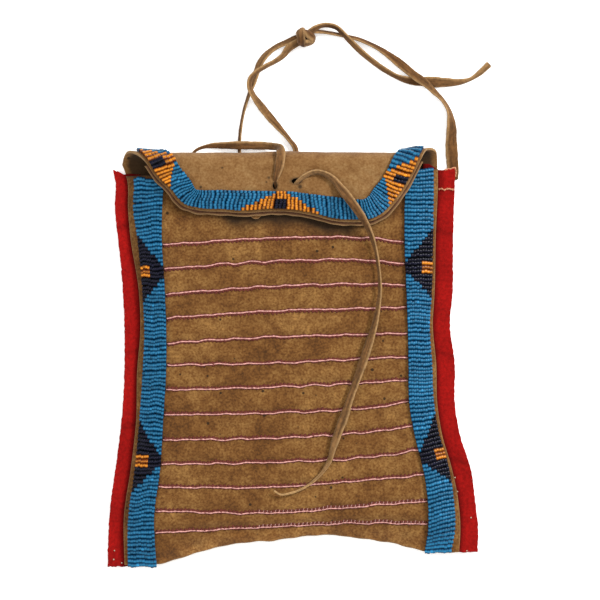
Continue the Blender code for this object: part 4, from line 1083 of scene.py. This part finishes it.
class BAG_OT_wool(bpy.types.Operator):
    """Make the two wool strips of the side seams."""

    bl_idname = "bag.wool"
    bl_label = "Wool strips"

    def execute(self, context):
        material = felted_wool()
        wave_height = context.scene.bag_sizes.wool_wave / MM
        for side, name in ((-1, "left_wool"), (1, "right_wool")):
            u, v = np.linspace(0, 1, WOOL_COLUMNS)[None, :], np.linspace(0, 1, WOOL_ROWS)[:, None]
            inner_top, outer_top = WOOL_TOP[side]
            half_top = 0.4 * inner_top + 0.6 * outer_top
            tucked_top = inner_top + WOOL_TUCKED[side]
            tops = (tucked_top, tucked_top, inner_top, half_top, outer_top)
            top = np.interp(u, (0, 0.08, WOOL_EDGE, WOOL_FREE, 1), tops)
            fray = 0.35 * ripple(u * 16, 0, 4.0, 41 + side)
            low = WOOL_BOTTOM[side] + 0.8 * fray
            y = low + (top + fray - low) * v
            show = side_size(side, "wool", y) + 0.16 * ripple(y, 0, 5.0, 43) + 0.08 * ripple(y, 0, 2.0, 44)
            past = np.interp(u, (0, WOOL_EDGE, WOOL_FREE), (-SEAM_TUCK, SEWN, STRAP_ROOM_FROM)) + 0 * y
            out = STRAP_ROOM_FROM + (show - STRAP_ROOM_FROM) * (u - WOOL_FREE) / (1 - WOOL_FREE)
            past = np.where(u > WOOL_FREE, out, past)
            free = ease(past, 0.0, 3.0)
            lift = strap_room(past, y) * (side > 0)
            lift = lift + wave_height * free * (0.5 + 0.5 * ripple(past * 1.5, y, 26.0, 45 + side))
            lift = lift + 0.06 * ripple(past, y, 2.2, 47) * free
            # Painted shade: the strip is darker next to the hide's edge and in a band across it at each crease.
            crease_shade = 0.75 * bump(np.clip(past, 0, None), 1.5)
            for place in WOOL_CREASES[side]:
                crease_shade = crease_shade + 0.3 * bump(y - place + 0.25 * past, 1.6) * ease(past, -1, 1)
            points = stack(side * (hide_edge(side, y) + past), y, HIDE + SEWN + lift)
            piece = slab(name, points + (0, 0, WOOL), points, material, {"stain_and_shade": np.clip(crease_shade, 0, 0.8)})
            dress(piece, "red_wool", f"{name}_strip")
        return {"FINISHED"}


# Beads

def side_colours(side):
    """The colour of every bead of a side band, row by row: navy triangles on blue, orange squares in them."""
    rows = round((BAND_TOP[side] - BAND_BOTTOM[side]) / BEAD)
    colours = np.full((rows, SIDE_BEADS), "blue", dtype="<U6")
    for middle, square_beads in zip(SIDE_MOTIFS[side], SIDE_SQUARES[side]):
        centre = int((BAND_TOP[side] - middle) / BEAD)
        for row in range(centre - SIDE_REACH[0], centre + SIDE_REACH[1] + 1):
            past = max(0, abs(row - centre) - SQUARE_ROWS // 2)
            far = SIDE_REACH[0] if row < centre else SIDE_REACH[1]
            reach = round(SIDE_BEADS * (1 - past / (far - SQUARE_ROWS // 2 + 0.6)))
            colours[row, :reach] = "navy"
            if not past:
                colours[row, :square_beads] = "orange"
    return colours


def flap_colours():
    """The colour of every bead of the flap band: orange triangles on blue, navy squares in them."""
    length = flap_reach()[-1]
    colours = np.full((round(length / BEAD), FLAP_BEADS), "blue", dtype="<U6")
    along = np.linspace(0, length, 400)
    outer, _ = flap_band_edges(along)
    for middle, before, square, after in FLAP_MOTIFS:
        first = round(np.interp(middle, outer[:, 0], along) / BEAD - square / 2)
        for row in range(first - before, first + square + after):
            past, reach = (first - row, before) if row < first else (row - first - square + 1, after)
            if past > 0:
                colours[row, :max(round(FLAP_BEADS * (1 - past / (reach + 1))), 1)] = "orange"
            else:
                colours[row, :FLAP_SQUARE] = "navy"
                colours[row, FLAP_SQUARE:] = "orange"
    return colours


def colour_fields(colours):
    """Label joined beads of one colour, from the first row on: the label of every bead, and each one's colour."""
    labels = np.full(colours.shape, -1)
    names = []
    for start in np.ndindex(*colours.shape):
        if labels[start] >= 0:
            continue
        names.append(colours[start])
        waiting = [start]
        while waiting:
            row, bead = waiting.pop()
            inside = 0 <= row < colours.shape[0] and 0 <= bead < colours.shape[1]
            if inside and labels[row, bead] < 0 and colours[row, bead] == names[-1]:
                labels[row, bead] = len(names) - 1
                waiting += [(row + 1, bead), (row - 1, bead), (row, bead + 1), (row, bead - 1)]
    return labels, names


def lay_beads(name, colours, place, materials, seed, bare=0, faded=0.0):
    """Thread a bead for each place of a band, one piece for each colour field.

    place(bead, row, height) is the band's surface: a bead's middle is at half its pitch, its length and width are
    the local pitches, and the rows lie a little unevenly. The first and last bare rows stay without beads. The last
    three or four rows are paler by the share faded, and there an orange row between two others is duller."""
    sizes = bpy.context.scene.bag_sizes
    rng = np.random.default_rng(seed)
    rows, beads = colours.shape
    single, whole = colours.shape, (rows, 1)
    labels, names = colour_fields(colours)
    row, bead = np.indices(single)
    labels = np.where(np.minimum(row, rows - 1 - row) < bare, -1, labels)
    bead = bead + 0.5 + rng.normal(0, 0.03, single)
    level = rng.normal(0, sizes.bead_stagger, whole)
    level = level + rng.normal(0, sizes.bead_stagger, whole) * (bead / beads - 0.5)
    wave = 0.3 * ripple(bead * 1.6, row * 0.7, 14.0, seed) + 0.08 * ripple(bead * 3.0, row * 2.0, 6.0, seed + 1)
    row = row + 0.5 + level + wave + rng.normal(0, 0.03, single)
    height = sizes.bead_height / MM * (0.5 + rng.normal(0, 0.03, whole) + rng.normal(0, 0.02, single))
    tone = np.clip(1 + rng.normal(0, 0.1, whole) + rng.normal(0, 0.08, single), 0.5, 1.6)
    odd = rng.random(single)
    tone = np.where(odd > 0.99, 1.6, np.where(odd < 0.015, 0.6, tone))
    tone = tone * (1 + faded * bump(rows - np.arange(rows), 3.0)[:, None])
    orange = np.pad(colours == "orange", ((1, 1), (0, 0)))
    dull = 1 - 0.13 * (orange[:-2] & orange[1:-1] & orange[2:]) * (faded > 0)
    step = 0.05
    middle = place(bead, row, height)
    long = (place(bead + step, row, height) - place(bead - step, row, height)) / (2 * step)
    wide = (place(bead, row + step, height) - place(bead, row - step, height)) / (2 * step)
    up = np.cross(long, wide)
    up = unit(up * np.sign((up * (place(bead, row, height + 1) - middle)).sum(-1))[..., None])
    size = 1 + rng.normal(0, 0.04, single)
    half_wide = 0.6 * np.minimum(np.linalg.norm(wide, axis=-1), 1.3 * BEAD) * size
    half_tall = 0.5 * sizes.bead_height / MM * size
    axes = np.stack([long, half_wide[..., None] * unit(np.cross(up, long)), half_tall[..., None] * up], -2)
    form = bead_form()[0]
    # How high each point sits round its bead's hole: the glass paints the crest lit and the flanks in painted shade
    # from it.
    raised = form[:, 2] / np.hypot(form[:, 1], form[:, 2])
    for number, colour in enumerate(names):
        chosen = labels == number
        node = f"{name}_{number + 1:02d}_{colour}"
        values = {"crest": np.outer(dull[chosen], raised), "tone": np.repeat(tone[chosen], len(form))}
        piece = bead_copies(f"{node}_beads", middle[chosen], axes[chosen], materials[colour], values)
        dress(piece, f"{colour}_glass_beads", node)


def bead_materials():
    """The three colours of glass, each with the darker colour painted as shade on the beads' flanks between rows.
    """
    colours = bpy.context.scene.bag_colours
    kinds = (("blue", "00304E", 0.14), ("navy", "020308", 0.15), ("orange", "5C2600", 0.25))
    return {
        name: seed_bead_glass(f"{name} seed beads", getattr(colours, f"{name}_beads"), linear(flank_shade), specular)
        for name, flank_shade, specular in kinds
    }


class BAG_OT_beads(bpy.types.Operator):
    """Thread the beads of the two side bands and of the flap's band."""

    bl_idname = "bag.beads"
    bl_label = "Bead bands"

    def execute(self, context):
        materials = bead_materials()
        for side, name in ((-1, "left_band"), (1, "right_band")):

            def side_place(bead, row, height, side=side):
                y = BAND_TOP[side] - row * BEAD
                outer, inner = band_edges(side, y)
                across = outer + (inner - outer) * bead / SIDE_BEADS
                y = y + curve_through(ROW_SLANT[side], y) * (across - (outer + inner) / 2)
                x = side * across
                return stack(x, y, front_under(x, y) + HIDE + BEAD_LIFT + height)

            lay_beads(name, side_colours(side), side_place, materials, 50 + side, 0, 0.4)
        colours = flap_colours()
        rows = len(colours)

        def flap_place(bead, row, height):
            outer, inner = flap_band_edges(row / rows * flap_reach()[-1])
            x, s = np.moveaxis(outer + (inner - outer) * (bead / FLAP_BEADS)[..., None], -1, 0)
            return stack(*sheet_point(x, s, HIDE / 2 + BEAD_LIFT + height + flap_relief(x, s)))

        lay_beads("flap_band", colours, flap_place, materials, 60, 1)
        return {"FINISHED"}


# Front lines

class BAG_OT_lines(bpy.types.Operator):
    """Stitch the lines across the front: a lumpy pink strand, with maroon and pale teeth beside it."""

    bl_idname = "bag.lines"
    bl_label = "Front lines"

    def execute(self, context):
        colours = context.scene.bag_colours
        pink = thread("pink strand", colours.strand, 1.2)
        maroon = thread("maroon teeth", colours.teeth, 1.0)
        pale = thread("pale teeth", tuple(np.array(colours.strand) * 0.55), 1.0)
        radius = context.scene.bag_sizes.strand / MM / 2
        for number, heights in enumerate(LINES):
            rng = np.random.default_rng(70 + number)
            name = f"line_{number + 1:02d}"
            left = -band_edges(-1, heights[0])[1] + LINE_GAP
            right = band_edges(1, heights[3])[1] - LINE_GAP
            x = np.linspace(left, right, int((right - left) / STRAND_STEP))
            y, turn = line_height(number, x), 2 * math.pi * x / LINE_TOOTH
            lump = 1 + 0.14 * np.sin(turn + rng.uniform(0, 6)) + 0.16 * ripple(x, 0, 3.1, number)
            centres = stack(x, y, front_top(x, y) + 0.75 * radius)
            strand = sweep(f"{name}_strand", centres, oval(radius * lump, radius * lump), pink)
            dress(strand, "pink_line", f"front_{name}")
            offset = -0.95 + 1.9 * ease(number, 3.0, 6.0)
            grown = 1 + 0.2 * np.sin(turn) + 0.15 * ripple(x, 0, 5.0, 90 + number)
            bed = stack(x, y + 0.3 * offset, front_top(x, y) + 0.1)
            dress(sweep(f"{name}_bed", bed, oval(1.05 * grown, 0.38 * grown), maroon), "pink_line")
            kinds = [("maroon", 0.0, 1.5, 0.55, maroon, left), ("pale", 0.5, 1.3, 0.3, pale, -20.0)]
            for kind, start, long, half, material, from_x in kinds[:1 + (number >= PALE_TEETH_FROM)]:
                tooth_x = np.arange(left + 1.0 + start * LINE_TOOTH, right - 0.8, LINE_TOOTH)
                tooth_x = tooth_x + rng.normal(0, 0.12, len(tooth_x))
                tooth_x = tooth_x[tooth_x > from_x]
                tooth_y = line_height(number, tooth_x) + offset + rng.normal(0, 0.12, len(tooth_x))
                middle = stack(tooth_x, tooth_y, front_top(tooth_x, tooth_y) + 0.12)
                lean = rng.normal(0.3, 0.15, len(tooth_x))
                lean_x, lean_y, flat = np.sin(lean), np.cos(lean), 0 * lean
                along, across = stack(lean_x, lean_y, flat) * long, stack(lean_y, -lean_x, flat) * half
                axes = np.stack([along, across, stack(flat, flat, flat + TOOTH_HEIGHT)], -2)
                dress(bead_copies(f"{name}_{kind}_teeth", middle, axes, material), "pink_line")
        return {"FINISHED"}


# Stitches

class BAG_OT_stitches(bpy.types.Operator):
    """Sew the salmon stitch across the right strip and the few pale stitches that show."""

    bl_idname = "bag.stitches"
    bl_label = "Stitches"

    def execute(self, context):
        salmon = thread("salmon thread", context.scene.bag_colours.stitches, 1.0)
        x = hide_edge(1, STITCH_Y) + np.linspace(0.4, 8.8, 34)
        y = STITCH_Y + 0.25 * np.sin((x - x[0]) * 1.4) + 0.15 * ripple(x, 0, 2.4, 81)
        lift = strap_room(x - hide_edge(1, y), y)
        centres = stack(x, y, HIDE + SEWN + WOOL + lift + 0.45)
        lump = 0.5 * (1 + 0.25 * np.sin(x * 4.2))
        directions = np.array([[0.0, 1.0, 0.0]]), np.array([[0.0, 0.0, 1.0]])
        dress(sweep("strip_stitch", centres, oval(lump, lump), salmon, directions), "pink_line")
        number = np.arange(len(EDGE_THREAD))
        step = np.linspace(0, number[-1], 48)
        centres = smooth_line(number, EDGE_THREAD, step)
        centres += stack(*(0.2 * ripple(step * 3, 0, 2.2, 82 + axis) for axis in range(3)))
        size = 0.38 * (1 + 0.3 * ripple(step * 3, 0, 1.4, 85))
        dress(sweep("strip_edge_thread", centres, oval(size, size), salmon), "pink_line")
        chalk = thread("white thread ends", linear("B8A890"), 1.0)
        axes = np.tile(np.diag(FLECK_SIZE), (len(FLECKS), 1, 1))
        dress(bead_copies("thread_flecks", np.array(FLECKS), axes, chalk), "pink_line")
        return {"FINISHED"}


class BAG_PT_panel(bpy.types.Panel):
    """Buttons for the bag's pieces, its sizes and its colours."""

    bl_idname = "BAG_PT_panel"
    bl_label = "Dispatch Bag"
    bl_space_type = "VIEW_3D"
    bl_region_type = "UI"
    bl_category = "Dispatch Bag"

    def draw(self, context):
        for operator in OPERATORS:
            self.layout.operator(operator.bl_idname)
        for group in (context.scene.bag_sizes, context.scene.bag_colours):
            for name in type(group).__annotations__:
                self.layout.prop(group, name)


OPERATORS = (
    BAG_OT_stage, BAG_OT_thongs, BAG_OT_front, BAG_OT_back_and_flap, BAG_OT_hem, BAG_OT_wool, BAG_OT_beads,
    BAG_OT_lines, BAG_OT_stitches,
)


def register():
    """Register the properties, the operators and the panel."""
    for group in (BagSizes, BagColours, *OPERATORS, BAG_PT_panel):
        bpy.utils.register_class(group)
    bpy.types.Scene.bag_sizes = PointerProperty(type=BagSizes)
    bpy.types.Scene.bag_colours = PointerProperty(type=BagColours)


def unregister():
    """Take them away again."""
    del bpy.types.Scene.bag_colours
    del bpy.types.Scene.bag_sizes
    for group in reversed((BagSizes, BagColours, *OPERATORS, BAG_PT_panel)):
        bpy.utils.unregister_class(group)


def main():
    """Make every piece in order."""
    register()
    for operator in OPERATORS:
        group, name = operator.bl_idname.split(".")
        getattr(getattr(bpy.ops, group), name)()


if __name__ == "__main__":
    main()
